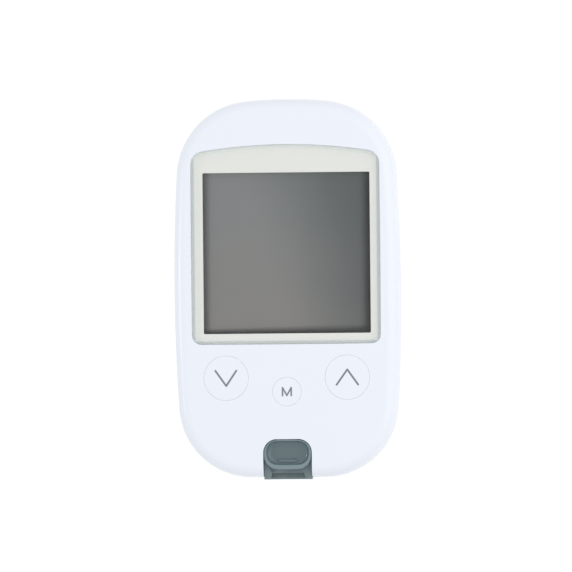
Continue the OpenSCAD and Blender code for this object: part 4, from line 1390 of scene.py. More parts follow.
    def build_rear(self, door: "BatteryDoor", bay: "BatteryBay") -> Object:
        """Makes the rear cover.

        Args:
            door: the battery door, whose seat is let into the back.
            bay: the battery bay, which is moulded into the cover.
        """
        low, high, wall = bay.low, bay.high, self.bay_wall
        case_points = self.screw_points("case_screws")
        bay_outline = RoundBar((low.x - wall, low.y - wall), (high.x + wall, high.y + wall), 0.3, 3)
        joined = [
            slab(door.plinth, self.sunk, door.seat + door.plinth_depth),
            slab(bay_outline, self.sunk, self.rear.high.z),
        ]
        joined += [post(p, self.boss_diameter + 1, self.sunk, self.rear_boss_top()) for p in case_points]
        joined += self.ribs(bay)
        cuts = [cutter(door.recess, door.seat, 0.0, door.recess_flare)]
        cuts.append(block((low.x, low.y, -PAST), (high.x, high.y, high.z)))
        cuts += bay.slots(door) + door.slots()
        seat = solids_of("case_screws")[0].low.z + Fasteners.case_head
        for p in case_points:
            cuts.append(cutter(Disc(p, self.case_recess, 48), seat, 0.0, self.recess_flare))
            cuts.append(post(p, self.case_hole, seat - self.sunk, self.rear_boss_top() + PAST))
        cuts.append(self.scoop(door))
        mesh = combine(combine(self.rear_shell(), joined, Combine.JOIN), cuts, Combine.CUT)
        return add_piece(mesh, "rear_cover_moulding", "body", Finishes.cover, ["rear_cover"])

    def ribs(self, bay: "BatteryBay") -> list[Mesh]:
        """Returns the stiffening ribs between the battery bay and the side walls."""
        root = bay.high.x + 0.9
        tip = self.outline.half_width - self.wall - 0.5
        foot = self.outline.half_width - self.back_edge - 2
        profile = [(root, 0.9), (foot, 0.9), (tip, 3.4), (tip, 6.5), (root, 6.5)]
        middle = (bay.low.y + bay.high.y) / 2
        made = []
        for side in (-1, 1):
            for y in (middle - 18, middle, middle + 16):
                ends = (y - self.rib_half, y + self.rib_half)
                made.append(loft([[(side * x, end, z) for x, z in profile] for end in ends]))
        return made

    def scoop(self, door: "BatteryDoor") -> Mesh:
        """Returns the cutter for the hollow that lets a thumb reach the door's latch."""
        radius, steps = self.scoop_radius, 24
        angles = [math.pi * i / steps for i in range(steps + 1)]
        profile = [(radius * math.sin(t), -radius * math.cos(t)) for t in angles]
        y = door.high_y + door.gap + self.scoop_place
        return placed(turned(profile, 64), Matrix.Translation((0, y, self.scoop_depth - radius)))


@dataclass
class DisplayStack:
    """What is seen through the window: lens, adhesive ring, cream frame and display glass.

    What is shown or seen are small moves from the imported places, as measured in the photograph: of the
    window's sides and arch, of the lens's edge, and of the lower left and upper right display corners.
    """

    seen_low: Point = (0.05, -0.13)
    seen_high: Point = (0.38, 0.16)
    shown_side: float = 0.32
    shown_top: float = 0.26
    arch_radius: float = 138.0
    straight_radius: float = 4000.0
    corner_radii: Point = (3.5, 2.4)
    fit: float = 0.1
    air: float = 0.02
    shown_fit: float = 0.04
    bevel: float = 0.5
    gasket_width: float = 1.1
    frame_side: float = 3.35
    frame_top: float = 7.7
    frame_low: float = 2.9
    frame_thickness: float = 0.8
    skirt: float = 1.0
    opening_edge: float = 0.12
    arch_inset: float = 2.0
    lens: Box = field(default_factory=lambda: Box.of("display_window"))
    gasket: Box = field(default_factory=lambda: Box.of("window_gasket"))
    bezel: Box = field(default_factory=lambda: Box.of("display_bezel"))

    @property
    def window(self) -> Bowed:
        """The outline of the window in the face."""
        return Bowed(
            self.lens.size.x / 2 + self.fit - self.shown_side,
            (self.lens.size.y - self.shown_top) / 2 + self.fit,
            self.straight_radius,
            (self.arch_radius, self.straight_radius),
            self.corner_radii,
            self.lens.centre.y - self.shown_top / 2,
            (4, 12, 14),
        )

    @property
    def window_top(self) -> float:
        """The y of the window's arched top."""
        return self.window.centre_y + self.window.half_length

    @property
    def view_low(self) -> Point:
        """The visible display's lower left corner."""
        low, (shift_x, shift_y) = self.lens.low, self.seen_low
        return (low.x - self.fit + self.frame_side + shift_x, low.y - self.fit + self.frame_low + shift_y)

    @property
    def view_high(self) -> Point:
        """The visible display's upper right corner."""
        high, (shift_x, shift_y) = self.lens.high, self.seen_high
        return (high.x + self.fit - self.frame_side + shift_x, high.y + self.fit - self.frame_top + shift_y)

    def build_lens(self) -> Object:
        """Makes the clear lens with its bevelled edge."""
        top, low = self.lens.high.z, self.lens.low.z + self.air
        drop, foot, bend = self.bevel / 2, 0.06, 1.3
        slope = [(self.bevel * math.sin(t) ** bend, drop * (1 - math.cos(t))) for t in _quarter_angles(6)]
        rings = [(self.shown_fit + foot, low), (self.shown_fit, low + foot)]
        rings += [(self.shown_fit + d, top - drop + z) for d, z in slope]
        mesh = loft([lift(self.window.inset(d), z) for d, z in rings])
        return add_piece(mesh, "clear_lens", "body", Finishes.lens, ["display_window"], 50.0)

    def build_gasket(self) -> Object:
        """Makes the grey adhesive ring under the lens's edge, with painted shade along its outer edge."""
        low, high = self.gasket.low.z, self.gasket.high.z
        edge, inner = self.window.inset(self.shown_fit), self.window.inset(self.gasket_width + self.fit)
        outer = loft([lift(edge, low), lift(edge, high)])
        mesh = combine(outer, [loft([lift(inner, low - 1), lift(inner, low + 1)])], Combine.CUT)
        finish = AdhesiveRing(
            "adhesive_ring",
            "gasket",
            half_width=self.window.half_width,
            low_y=self.lens.low.y - self.fit,
            arch_y=self.window_top - self.arch_inset,
        )
        return add_piece(mesh, "adhesive_ring", "body", finish, ["window_gasket"])

    def build_frame(self) -> Object:
        """Makes the cream frame, with its opening rounded where it meets the display."""
        top, low = self.bezel.high.z, self.bezel.low.z
        outer = self.window.inset(self.gasket_width + self.fit)
        plate = loft([lift(outer, top - self.frame_thickness), lift(outer, top)])
        skirt_low = (self.view_low[0] - self.skirt, self.view_low[1] - self.skirt)
        skirt_high = (self.view_high[0] + self.skirt, self.view_high[1] + self.skirt)
        skirt = slab(RoundBar(skirt_low, skirt_high, self.skirt), low, top - self.frame_thickness / 2)
        opening = cutter(RoundBar(self.view_low, self.view_high, 0.3), low - 1, top, self.opening_edge)
        mesh = combine(combine(plate, [skirt], Combine.JOIN), [opening], Combine.CUT)
        return add_piece(mesh, "cream_frame", "body", Finishes.frame, ["display_bezel"])

    def build_panel(self) -> Object:
        """Makes the two display glasses with their ground edges."""
        finish = DisplayGlass("display_glass", "lcd", self.view_low, self.view_high)
        mesh = eased(merged_copy("lcd_panel"), 0.08)
        return add_piece(mesh, "display_glass", "body", finish, ["lcd_panel"])

    def build(self) -> None:
        """Makes the whole stack."""
        self.build_lens()
        self.build_gasket()
        self.build_frame()
        self.build_panel()
        tray = eased(merged_copy("lcd_holder"), 0.1)
        add_piece(tray, "display_tray", "body", Finishes.holder, ["lcd_holder"])
        strip = eased(merged_copy("zebra_strip"), 0.08)
        add_piece(strip, "striped_strip", "body", Finishes.elastomer, ["zebra_strip"])


def _quarter_angles(steps: int) -> list[float]:
    """Returns the angles of a quarter turn, in radians, with both its ends."""
    return [math.pi / 2 * i / steps for i in range(steps + 1)]


class Sign(Enum):
    """What is printed on a button, as strokes between points in millimetres from its middle."""

    DOWN = ((-2.9, 2.1), (0.0, -2.0), (2.75, 2.1))
    UP = ((-2.9, -2.1), (0.0, 2.0), (2.9, -2.1))
    MEMORY = ((-1.13, -1.22), (-1.13, 1.05), (0.0, -1.0), (1.13, 1.05), (1.13, -1.22))


@dataclass(frozen=True)
class Button:
    """One press button: its node, its body, its place and what is printed on it."""

    node: str
    body: str
    sign: Sign
    stroke: float
    flange_width: float = 0.75

    @property
    def box(self) -> Box:
        """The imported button's box."""
        return Box.of(self.node)

    @property
    def centre(self) -> Point:
        """The middle of the button."""
        return (self.box.centre.x, self.box.centre.y)

    @property
    def diameter(self) -> float:
        """The diameter of the cap."""
        return self.box.size.x - 2 * self.flange_width


@dataclass
class Keypad:
    """The three press buttons, their printed signs and the switches under them.

    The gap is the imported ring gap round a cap, and the cap is drawn out to leave only the shown gap of it.
    """

    gap: float = 0.14
    shown_gap: float = 0.02
    cap_wall: float = 1.0
    flange_thickness: float = 0.8
    flange_bevel: float = 0.06
    roof_corner: float = 0.2
    sunk: float = 0.3
    rib_half: float = 0.4
    rib_lift: float = 0.4
    stem: float = 4.2
    edge: float = 0.12
    ink: float = 0.01
    buttons: tuple[Button, ...] = (
        Button("down_button", "down_key", Sign.DOWN, 0.5),
        Button("memory_button", "memory_key", Sign.MEMORY, 0.42),
        Button("up_button", "up_key", Sign.UP, 0.5),
    )

    def cap(self, button: Button) -> Mesh:
        """Returns a hollow cap with its flange, its stem and the ribs between them."""
        box = button.box
        top, low = box.high.z - self.ink, box.low.z
        radius, flange = button.diameter / 2 + self.gap - self.shown_gap, box.size.x / 2
        cavity, roof = button.diameter / 2 - self.cap_wall, box.high.z - self.cap_wall
        flange_top = low + self.flange_thickness
        bevel, corner, sunk = self.flange_bevel, self.roof_corner, self.sunk
        crown = [(radius - d, top - z) for d, z in round_edge(self.edge, 6)]
        base = [(cavity, low), (flange - bevel, low), (flange, low + bevel), (flange, flange_top - bevel)]
        profile = [(0, roof), (cavity - corner, roof), (cavity, roof - corner)] + base
        profile += [(flange - bevel, flange_top), (radius, flange_top)] + crown + [(0, top)]
        stem_low = Box.of(button.node.replace("button", "plunger")).high.z
        parts = [post((0, 0), self.stem, stem_low, roof + sunk)]
        reach, half = cavity + corner, self.rib_half
        rib = block((-reach, -half, low + self.rib_lift), (reach, half, roof + sunk))
        parts += [placed(rib, Matrix.Rotation(turn, 4, "Z")) for turn in (0.0, math.pi / 2)]
        mesh = combine(turned(profile), parts, Combine.JOIN)
        return placed(mesh, Matrix.Translation((*button.centre, 0)))

    def print_of(self, button: Button) -> Mesh:
        """Returns the thin ink of a button's sign."""
        points = button.sign.value
        top, half = button.box.high.z, button.stroke / 2
        low = top - 2 * self.ink
        strokes = []
        for start, end in zip(points, points[1:]):
            a, b = Vector(start), Vector(end)
            along = (b - a).normalized()
            side = Vector((-along.y, along.x)) * half
            square = [a + side, a - side, b - side, b + side]
            flat = [(p.x + button.centre[0], p.y + button.centre[1]) for p in square]
            strokes.append(loft([lift(flat, low), lift(flat, top)]))
        for x, y in points[1:-1]:
            place = (x + button.centre[0], y + button.centre[1])
            strokes.append(post(place, button.stroke, low, top, 24))
        return combine(strokes[0], strokes[1:], Combine.JOIN)

    def build(self) -> None:
        """Makes the buttons, signs, plungers and switches."""
        for button in self.buttons:
            key = button.node.removesuffix("_button")
            add_piece(self.cap(button), f"{key}_cap", button.body, Finishes.button, [button.node])
            add_piece(self.print_of(button), f"{key}_sign", button.body, Finishes.sign)
            plunger = eased(merged_copy(f"{key}_plunger"), 0.12, 3)
            add_piece(plunger, f"{key}_stem", button.body, Finishes.dark, [f"{key}_plunger"])
            base = eased(merged_copy(f"{key}_switch"), 0.07)
            add_piece(base, f"{key}_switch_base", "body", Finishes.switch, [f"{key}_switch"])


@dataclass
class StripPort:
    """The grey strip port, its sliding ejector with the thumb bowl, and the connector behind it.

    The pad leans down by its tilt for each millimetre towards the end of the meter, and the bowl lies in
    it, moved by its shift towards the display, inside a rim with a rounded lip.
    """

    fit: float = 0.1
    flange: float = 1.6
    opening_length: float = 10.5
    opening_corner: float = 3.5
    pad_length: float = 7.78
    pad_gap: float = 0.07
    pad_tilt: float = 0.06
    pad_corners: Point = (3.4, 3.6)
    pad_low: float = 19.65
    pad_edge: float = 0.42
    bowl_depth: float = 1.3
    bowl_run: float = 1.6
    bowl_rim: float = 0.75
    lip_rise: float = 0.14
    bowl_shift: float = 0.42
    # How far below the pad's top the rim's painted highlight reaches.
    paled_rim_depth: float = 1.1
    grip_place: float = 2.15
    grip_length: float = 5.2
    grip_diameter: float = 1.1
    travel: float = 2.5
    slot_floor: float = 16.5
    mouth_width: float = 9.1
    lip_radius: float = 0.6
    spring_wire: float = 0.34
    spring_turns: float = 5.0
    box: Box = field(default_factory=lambda: Box.of("strip_port"))
    slider: Box = field(default_factory=lambda: Box.of("ejector_slider"))

    @property
    def opening_width(self) -> float:
        """The width of the notch in the face."""
        return self.box.size.x - 2 * self.flange + 2 * self.fit

    @property
    def opening_y(self) -> float:
        """The y of the notch's upper edge."""
        return self.box.low.y + self.opening_length

    @property
    def pad(self) -> Bowed:
        """The outline of the thumb pad."""
        centre_y = self.slider.low.y + self.pad_length / 2
        half_width, half_length = self.opening_width / 2 - self.pad_gap, self.pad_length / 2
        return Bowed(half_width, half_length, 60.0, (60.0, 60.0), self.pad_corners, centre_y, (6, 14, 8))

    def pad_ring(self, inset: float, drop: float, shift: float = 0.0) -> Ring:
        """Returns one ring of the pad, which leans down towards the end of the meter.

        Args:
            inset: how far the ring is drawn in.
            drop: how far it lies below the pad's rim.
            shift: how far it is moved towards the display.
        """
        top_y = self.slider.low.y + self.pad_length
        rim = self.pad_top
        points = self.pad.inset(inset)
        return [(x, y + shift, rim - drop - self.pad_tilt * (top_y - y)) for x, y in points]

    @property
    def pad_top(self) -> float:
        """The height of the pad's rim where it is highest."""
        return self.slider.high.z + 0.3 * self.pad_tilt

    def lip(self) -> Mesh:
        """Returns the cutter that rounds the outer edge of the slot's floor."""
        y, z, r, half = self.box.low.y, self.slot_floor, self.lip_radius, self.mouth_width / 2
        across = Matrix.Translation((0, y + r, z - r)) @ Matrix.Rotation(math.pi / 2, 4, "Y")
        bar = placed(post((0, 0), 2 * r, -half - 1, half + 1), across)
        return combine(block((-half, y - 0.1, z - r), (half, y + r, z + 0.1)), [bar], Combine.CUT)

    def build_port(self) -> Object:
        """Makes the port's body with its rounded edges."""
        mesh = eased(combine(merged_copy("strip_port"), [self.lip()], Combine.CUT), 0.12, 3, 35.0)
        return add_piece(mesh, "strip_port_moulding", "body", Finishes.port, ["strip_port"])

    def build_slider(self) -> Object:
        """Makes the ejector: a pad with a thumb bowl and grip bar, on an arm with its finger."""
        lip = self.lip_rise
        wall = [lift(self.pad.inset(0), self.pad_low)]
        wall += [self.pad_ring(d, z) for d, z in round_edge(self.pad_edge, 5)]
        turn_in = [(self.bowl_rim - lip * math.sin(t), lip * (1 - math.sin(t))) for t in _quarter_angles(3)]
        rim = [self.pad_ring(d, z, self.bowl_shift) for d, z in reversed(turn_in)]
        bowl = [
            self.pad_ring(
                self.bowl_rim + self.bowl_run * (1 - math.cos(t)),
                lip + (self.bowl_depth - lip) * math.sin(t),
                self.bowl_shift,
            )
            for t in _quarter_angles(14)[1:]
        ]
        pad = loft(wall + rim + bowl)
        grip_y = self.slider.low.y + self.grip_place
        floor = self.pad_top - self.bowl_depth - self.pad_tilt * (self.pad_length - self.grip_place)
        flat = Matrix.Diagonal((1.0, 1.1, 0.8, 1.0))
        grip = placed(self.capsule(), Matrix.Translation((0, grip_y, floor)) @ flat)
        keep_low = block((-20, -60, 0), (20, 0, self.pad_low + 0.05))
        below = combine(merged_copy("ejector_slider"), [keep_low], Combine.KEEP)
        mesh = combine(pad, [grip, eased(below, 0.06, 2, 50.0)], Combine.JOIN)
        inset = self.bowl_rim - self.lip_rise / 2
        # The finish paints the bowl's rim pale, a painted highlight of the lit rim, over real edge wear.
        finish = ThumbPad(
            "slate_slider",
            "slider",
            colour=(0.118, 0.168, 0.182),
            shade=(0.105, 0.15, 0.164),
            paled_tone=(0.19, 0.258, 0.278),
            roughness=(0.12, 0.2),
            fineness=5000.0,
            bump=0.05,
            wear=0.25,
            bowl_centre=(0.0, self.pad.centre_y + self.bowl_shift),
            bowl_half=(self.pad.half_width - inset, self.pad.half_length - inset),
            bowl_corner=self.pad_corners[0] - inset,
            rim_low=self.pad_top - self.paled_rim_depth,
        )
        return add_piece(mesh, "ejector_moulding", "ejector", finish, ["ejector_slider"], 40.0)

    def capsule(self) -> Mesh:
        """Returns the grip bar: a round bar across the meter with round ends."""
        radius = self.grip_diameter / 2
        half = self.grip_length / 2 - radius
        ends = [(radius * math.sin(t), half + radius * math.cos(t)) for t in _quarter_angles(8)]
        profile = [(r, -z) for r, z in ends] + [(r, z) for r, z in reversed(ends)]
        return placed(turned(profile, 40), Matrix.Rotation(math.pi / 2, 4, "Y"))

    def build_spring(self) -> Object:
        """Makes the ejector's return spring."""
        box, wire = Box.of("ejector_spring"), self.spring_wire
        radius = (box.size.x - wire) / 2
        mesh = wound_wire(box, box.centre, wire, (radius, radius), self.spring_turns, 40)
        piece = add_piece(mesh, "ejector_coil", "body", Finishes.spring, ["ejector_spring"], 60.0)
        keep = 1 - self.travel / box.size.y
        box.low.y * MM
        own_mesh(piece)
        return piece

    def build(self) -> None:
        """Makes the port, the ejector and what they work with."""
        self.build_port()
        self.build_slider()
        self.build_spring()
        housing = eased(merged_copy("strip_connector"), 0.08)
        add_piece(housing, "connector_housing", "body", Finishes.connector, ["strip_connector"])
        self.build_contacts()

    def build_contacts(self) -> Object:
        """Makes the row of leaf contacts from one leaf."""
        boxes = solids_of("connector_contacts")
        first = boxes[0]
        around = Vector((0.1, 1, 1))
        keep = block(first.low - around, first.high + around)
        leaf = eased(combine(merged_copy("connector_contacts"), [keep], Combine.KEEP), 0.04, 2, 50.0)
        places = [box.low - first.low for box in boxes]
        mesh = set_on_points(leaf, places, Finishes.gold)
        return add_piece(mesh, "leaf_contacts", "body", Finishes.gold, ["connector_contacts"])


@dataclass
class BatteryBay:
    """The two cells with their springs and contact plates, and the room that holds them."""

    plate_sink: float = 0.3
    cell_gap: float = 0.3
    tab_width: float = 2.4
    wire: float = 0.6
    turns: float = 3.5
    taper: float = 0.9
    sleeve: float = 0.12
    film_lap: float = 0.9
    film_edge: float = 0.4
    can_edge: float = 0.3
    end_rim: float = 1.55
    nub_height: float = 1.0
    nub_radius: float = 1.9
    dish: float = 0.2
    left: Box = field(default_factory=lambda: Box.of("battery_left"))
    right: Box = field(default_factory=lambda: Box.of("battery_right"))
    bridge: Box = field(default_factory=lambda: Box.of("bridge_plate"))
    negative: Box = field(default_factory=lambda: Box.of("negative_plate"))

    @property
    def low(self) -> Vector:
        """The bay's lowest corner."""
        return Vector((self.left.low.x - self.cell_gap, self.negative.low.y + self.plate_sink, 0))

    @property
    def high(self) -> Vector:
        """The bay's highest corner."""
        y = self.bridge.high.y - self.plate_sink
        return Vector((self.right.high.x + self.cell_gap, y, self.left.high.z + 0.2))

    def slots(self, door: "BatteryDoor") -> list[Mesh]:
        """Returns the cutters for the pockets that hold the contact plates and their tabs."""
        low, high = self.low, self.high
        seat, depth = door.seat - 0.5, self.plate_sink + 0.05
        bridge, plate = self.bridge.size.x / 2 + 0.15, (self.negative.size.x + 0.3) / 2
        tab = self.tab_width / 2 + 0.2
        made = [block((-bridge, high.y - 0.5, seat), (bridge, high.y + depth, high.z))]
        for box in (self.left, self.right):
            x, inner = box.centre.x, low.y + self.negative.size.y
            made.append(block((x - plate, low.y - depth, seat), (x + plate, low.y + 0.5, high.z)))
            made.append(block((x - tab, low.y - depth, high.z - 0.5), (x + tab, inner, high.z + 3)))
        return made

    def build_cell(self, node: str, way: int) -> None:
        """Makes a cell: its steel can with nub and dished ends, and the film round it.

        Args:
            node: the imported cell's name.
            way: 1 if its nub is at +Y and -1 if it is at -Y.
        """
        box = Box.of(node)
        r, length, nub_r, dish = box.size.x / 2, box.size.y, self.nub_radius, self.dish
        body, can_r, edge = length - self.nub_height, r - self.sleeve, self.can_edge
        rim, hollow = r - self.end_rim, r - self.end_rim - 0.25
        can = [(0, dish), (hollow, dish), (rim, 0.02), (can_r - edge, 0), (can_r, edge)]
        can += [(can_r, body - edge), (can_r - edge, body), (rim, body), (hollow, body - dish)]
        can += [(nub_r, body - dish), (nub_r, length - edge)]
        can += [(nub_r - d, length - z) for d, z in round_edge(edge, 4)] + [(0, length)]
        lap, thin, wide, cut = can_r - self.film_lap, 0.03, self.film_edge, 0.12
        under, start = can_r - 0.02, edge + 0.02
        film = [(lap, thin), (lap, 0.0), (r - wide, 0.0), (r - cut, cut), (r, wide)]
        film += [(r, body - wide), (r - cut, body - cut), (r - wide, body), (lap, body)]
        film += [(lap, body - thin), (can_r - edge, body - thin), (under, body - start)]
        film += [(under, start), (can_r - edge, thin)]
        turn = Matrix.Rotation(-math.pi / 2 * way, 4, "X")
        flat_end, nub_end = (box.low.y, box.high.y) if way > 0 else (box.high.y, box.low.y)
        move = Matrix.Translation((box.centre.x, flat_end, box.centre.z)) @ turn
        add_piece(placed(turned(can), move), f"{node}_can", "body", Finishes.can, [node])
        finish = CellSleeve(f"{node}_film", "cell", nub_end=nub_end, way=float(way))
        add_piece(placed(turned(film, ring=True), move), f"{node}_film", "body", finish)

    def build_spring(self, node: str, wide_first: bool) -> Object:
        """Makes one conical contact spring.

        Args:
            node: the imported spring's name.
            wide_first: whether its wide end is at -Y.
        """
        box = Box.of(node)
        wide = (max(box.size.x, box.size.z) - self.wire) / 2
        narrow = wide - self.taper
        radii = (wide, narrow) if wide_first else (narrow, wide)
        cell = self.left if box.centre.x < 0 else self.right
        axis = Vector((cell.centre.x, 0, self.left.centre.z))
        mesh = wound_wire(box, axis, self.wire, radii, self.turns, 48)
        return add_piece(mesh, f"{node}_coil", "body", Finishes.spring, [node], 60.0)

    def build(self) -> None:
        """Makes the cells, springs and plates."""
        self.build_cell("battery_left", 1)
        self.build_cell("battery_right", -1)
        self.build_spring("negative_spring", True)
        self.build_spring("bridge_spring", False)
        for node in ("negative_plate", "positive_plate", "bridge_plate"):
            plate = eased(merged_copy(node), 0.08, 2)
            add_piece(plate, f"{node}_sheet", "body", Finishes.sheet, [node])


@dataclass
class BatteryDoor:
    """The battery door with its hooks, latch tongue, rib and grip grooves."""

    gap: float = 0.15
    corner: float = 2.0
    thickness: float = 1.6
    hook_reach: float = 1.4
    hook_x: float = 7.0
    hook_width: float = 4.0
    latch_width: float = 10.0
    plinth_side: float = 1.3
    plinth_depth: float = 1.4
    recess_flare: float = 0.15
    slot_fit: float = 0.3
    grooves: int = 5
    groove_pitch: float = 1.6
    groove_width: float = 0.6
    groove_depth: float = 0.35
    box: Box = field(default_factory=lambda: Box.of("battery_door"))

    @property
    def low_y(self) -> float:
        """The y of the door's hook end, without its hooks."""
        return self.box.low.y + self.hook_reach

    @property
    def high_y(self) -> float:
        """The y of the door's latch end."""
        return self.box.high.y

    @property
    def top(self) -> float:
        """The height of the door's inner face."""
        return self.box.low.z + self.thickness

    @property
    def seat(self) -> float:
        """The height of the ledge that the door lies under."""
        return self.top + 0.2

    @property
    def recess(self) -> RoundBar:
        """The outline of the door's seat in the back."""
        x = self.box.size.x / 2 + self.gap
        return RoundBar((-x, self.low_y - self.gap), (x, self.high_y + self.gap), self.corner + self.gap)

    @property
    def plinth(self) -> RoundBar:
        """The outline of the thicker floor round the door's seat."""
        x = self.box.size.x / 2 + self.gap + self.plinth_side
        low = self.low_y - self.hook_reach - self.plinth_side
        return RoundBar((-x, low), (x, self.high_y + self.gap + self.plinth_side), self.corner)

    def slots(self) -> list[Mesh]:
        """Returns the cutters for the hooks' and the latch's openings in the rear cover."""
        floor, roof = 2.0, self.seat + self.plinth_depth + PAST
        made = []
        for side in (-1, 1):
            x0 = side * self.hook_x - self.hook_width / 2 - self.slot_fit
            x1 = side * self.hook_x + self.hook_width / 2 + self.slot_fit
            hook_end = self.low_y - self.hook_reach - self.slot_fit
            made.append(block((x0, hook_end, floor), (x1, self.low_y, roof)))
            made.append(block((x0, self.low_y - self.gap, self.seat - 0.5), (x1, self.low_y + 3.2, roof)))
        half = self.latch_width / 2 + self.slot_fit
        start = Box.of("bridge_plate").high.y - BatteryBay.plate_sink + Covers.bay_wall + 0.2
        made.append(block((-half, start, self.seat - 0.5), (half, self.high_y + self.gap, roof)))
        return made

    def build(self) -> Object:
        """Makes the door, with its grooves cut by the Geometry Nodes tree for them."""
        x = self.box.size.x / 2
        outline = RoundBar((-x, self.low_y), (x, self.high_y), self.corner, 12)
        plate = slab(outline, self.box.low.z, self.top, 0.3, 0.1)
        low, high = self.box.low, self.box.high
        inside = block((-x - 1, low.y - 1, self.top - 0.6), (x + 1, high.y + 1, high.z + 1))
        inner = combine(merged_copy("battery_door"), [inside], Combine.KEEP)
        plate = combine(plate, [inner], Combine.JOIN)
        bar = RoundBar((-self.latch_width / 2, 0), (self.latch_width / 2, self.groove_width), 0.28, 6)
        tool = linked("groove", cutter(bar, self.groove_depth, 0.0, 0.12))
        mesh = Pattern.GRIP_GROOVES.make(
            plate,
            Tool=tool,
            Grooves=self.grooves,
            First=(0.0, self.high_y - 3 - self.groove_width, self.box.low.z),
            Step=(0.0, -self.groove_pitch, 0.0),
            Material=Finishes.cover.material(),
        )
        bpy.data.objects.remove(tool)
        return add_piece(mesh, "battery_door_moulding", "door", Finishes.cover, ["battery_door"])


@dataclass
class Electronics:
    """The circuit board and what is soldered to it."""

    def build(self) -> None:
        """Makes the board and its parts, with their edges eased."""
        work = (
            ("circuit_board", "board_sheet", Finishes.board, 0.06),
            ("microcontroller", "chip", Finishes.dark, 0.03),
            ("board_parts", "chip_parts", Finishes.board_part, 0.06),
            ("buzzer", "sounder", Finishes.dark, 0.15),
        )
        for node, name, finish, edge in work:
            add_piece(eased(merged_copy(node), edge), name, "body", finish, [node])


@dataclass
class Fasteners:
    """The case screws and the board screws, each set from one screw."""

    case_shank: float = 2.2
    case_head: float = 1.4
    board_shank: float = 1.6
    board_head: float = 1.0
    pitch: float = 0.45

    def screw(self, box: Box, shank: float, head_h: float) -> Mesh:
        """Returns a pan-head screw with a cross recess, its head's underside at the origin.

        Args:
            box: the box of a packed screw.
            shank: the diameter of its shank.
            head_h: the height of its head.
        """
        head, length = box.size.x / 2, box.size.z - head_h
        dome = [(head * math.sin(t), -head_h * (0.35 + 0.65 * math.cos(t))) for t in _quarter_angles(8)]
        profile = dome + [(head, -0.05), (head - 0.05, 0), (shank / 2 + 0.1, 0), (shank / 2, 0.1)]
        pitch = self.pitch
        for i in range(int((length - 1.4) / pitch)):
            z = 0.6 + i * pitch
            profile += [(shank / 2 - 0.1, z), (shank / 2, z + pitch * 0.45), (shank / 2, z + pitch * 0.55)]
        profile += [(shank / 2 - 0.1, length - 0.7), (shank / 6, length), (0, length)]
        wide, deep = head * 0.62, head_h * 0.62
        arm = RoundBar((-wide, -head * 0.16), (wide, head * 0.16), 0.08, 3)
        slot = loft([lift(arm.inset(0), -head_h - 0.5), lift(arm.inset(head * 0.06), -head_h + deep)])
        slots = [placed(slot, Matrix.Rotation(turn, 4, "Z")) for turn in (0.0, math.pi / 2)]
        return combine(turned(profile, 48), slots, Combine.CUT)

    def build_set(self, node: str, name: str, shank: float, head_h: float, seed: int) -> Object:
        """Makes one set of screws on their places, each driven home to an angle of its own."""
        boxes = solids_of(node)
        screw = self.screw(boxes[0], shank, head_h)
        places = [(box.centre.x, box.centre.y, box.low.z + head_h) for box in boxes]
        mesh = set_on_points(screw, places, Finishes.screw, math.pi / 2, seed)
        return add_piece(mesh, name, "body", Finishes.screw, [node])

    def build(self) -> None:
        """Makes both sets."""
        self.build_set("case_screws", "case_screw_set", self.case_shank, self.case_head, 11)
        self.build_set("board_screws", "board_screw_set", self.board_shank, self.board_head, 23)


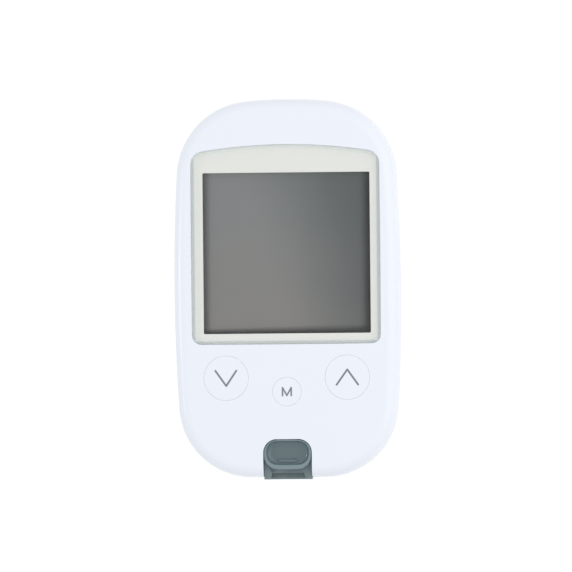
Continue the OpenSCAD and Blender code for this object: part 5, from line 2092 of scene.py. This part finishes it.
@dataclass
class Studio:
    """The camera above the meter, a little to its right, the white sheet and the soft light round it."""

    scale: float = 0.26
    image_size: int = 572
    distance: float = 2600.0
    centre: Point = (-0.47, 0.55)
    roll: float = 0.57
    lean: float = 2.7
    aim_height: float = 11.0
    sensor: float = 36.0
    sheet_size: float = 8000.0
    sheet_drop: float = 0.02
    sky: float = 0.855

    def place_camera(self) -> None:
        """Places the camera so that the meter fills the photograph's frame as it does there."""
        data = bpy.data.cameras.new("camera")
        field_width = self.scale * self.image_size
        data.sensor_width = self.sensor
        data.lens = self.sensor * self.distance / field_width
        data.clip_start, data.clip_end = 0.1, 20.0
        camera = linked("camera", data)
        turn = Matrix.Rotation(-math.radians(self.roll), 4, "Z")
        turn @= Matrix.Rotation(math.radians(self.lean), 4, "Y")
        aim = Vector((*self.centre, self.aim_height))
        camera.location = (aim + turn @ Vector((0, 0, self.distance))) * MM
        camera.rotation_euler = turn.to_euler()
        bpy.context.scene.camera = camera

    def lay_sheet(self) -> None:
        """Lays the white sheet just under the meter's back."""
        half = self.sheet_size / 2
        corners = [(-half, -half), (half, -half), (half, half), (-half, half)]
        mesh = bpy.data.meshes.new("sheet")
        mesh.from_pydata(lift(corners, -self.sheet_drop), [], [(0, 1, 2, 3)])
        mesh.transform(Matrix.Scale(MM, 4))
        mesh.materials.append(StudioPaper("studio_paper", "").material())
        linked("sheet", mesh)

    def hang_light(self, name: str, place: Sequence[float], size: Point, radiance: float) -> None:
        """Hangs a soft light that faces the meter.

        Args:
            name: the light's name.
            place: where it hangs, in metres.
            size: its width and height, in metres.
            radiance: how bright its face is, where a strength of 1 is white.
        """
        data = bpy.data.lights.new(name, "AREA")
        data.shape = "RECTANGLE"
        data.size, data.size_y = size
        data.energy = radiance * math.pi * size[0] * size[1]
        light = linked(name, data)
        light.location = place
        light.rotation_euler = (-Vector(place)).to_track_quat("-Z", "Y").to_euler()
        light.visible_camera = False

    def light_world(self) -> None:
        """Lights everything evenly from all round, and shows white behind the meter."""
        world = bpy.data.worlds.new("studio")
        bpy.context.scene.world = world
        world.use_nodes = True
        world.node_tree.nodes.clear()
        wiring = Wiring(world.node_tree)
        pure = rgba((1.0, 1.0, 1.0))
        soft = wiring.out("ShaderNodeBackground", "Background", {"Color": pure, "Strength": self.sky})
        white = wiring.out("ShaderNodeBackground", "Background", {"Color": pure, "Strength": 1.0})
        both = wiring.either(seen_directly(wiring), soft, white)
        wiring.add("ShaderNodeOutputWorld", {"Surface": both})

    def build(self) -> None:
        """Sets up the whole studio."""
        self.place_camera()
        self.lay_sheet()
        self.hang_light("right_light", (0.41, 0.09, 0.36), (0.5, 0.6), 0.8)
        self.hang_light("left_light", (-0.5, 0.0, 0.26), (0.08, 0.1), 10.5)
        self.light_world()
        bpy.context.scene.view_settings.view_transform = "Standard"


def main() -> None:
    """Builds the meter's looks and the studio round it."""
    logging.basicConfig(level=logging.INFO, format="%(name)s: %(message)s")
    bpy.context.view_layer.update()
    studio, display, keypad, port = Studio(), DisplayStack(), Keypad(), StripPort()
    door, bay, covers = BatteryDoor(), BatteryBay(), Covers()
    studio.build()
    covers.build_front(display, keypad, port)
    covers.build_rear(door, bay)
    display.build()
    keypad.build()
    port.build()
    bay.build()
    door.build()
    Electronics().build()
    Fasteners().build()


if __name__ == "__main__":
    main()
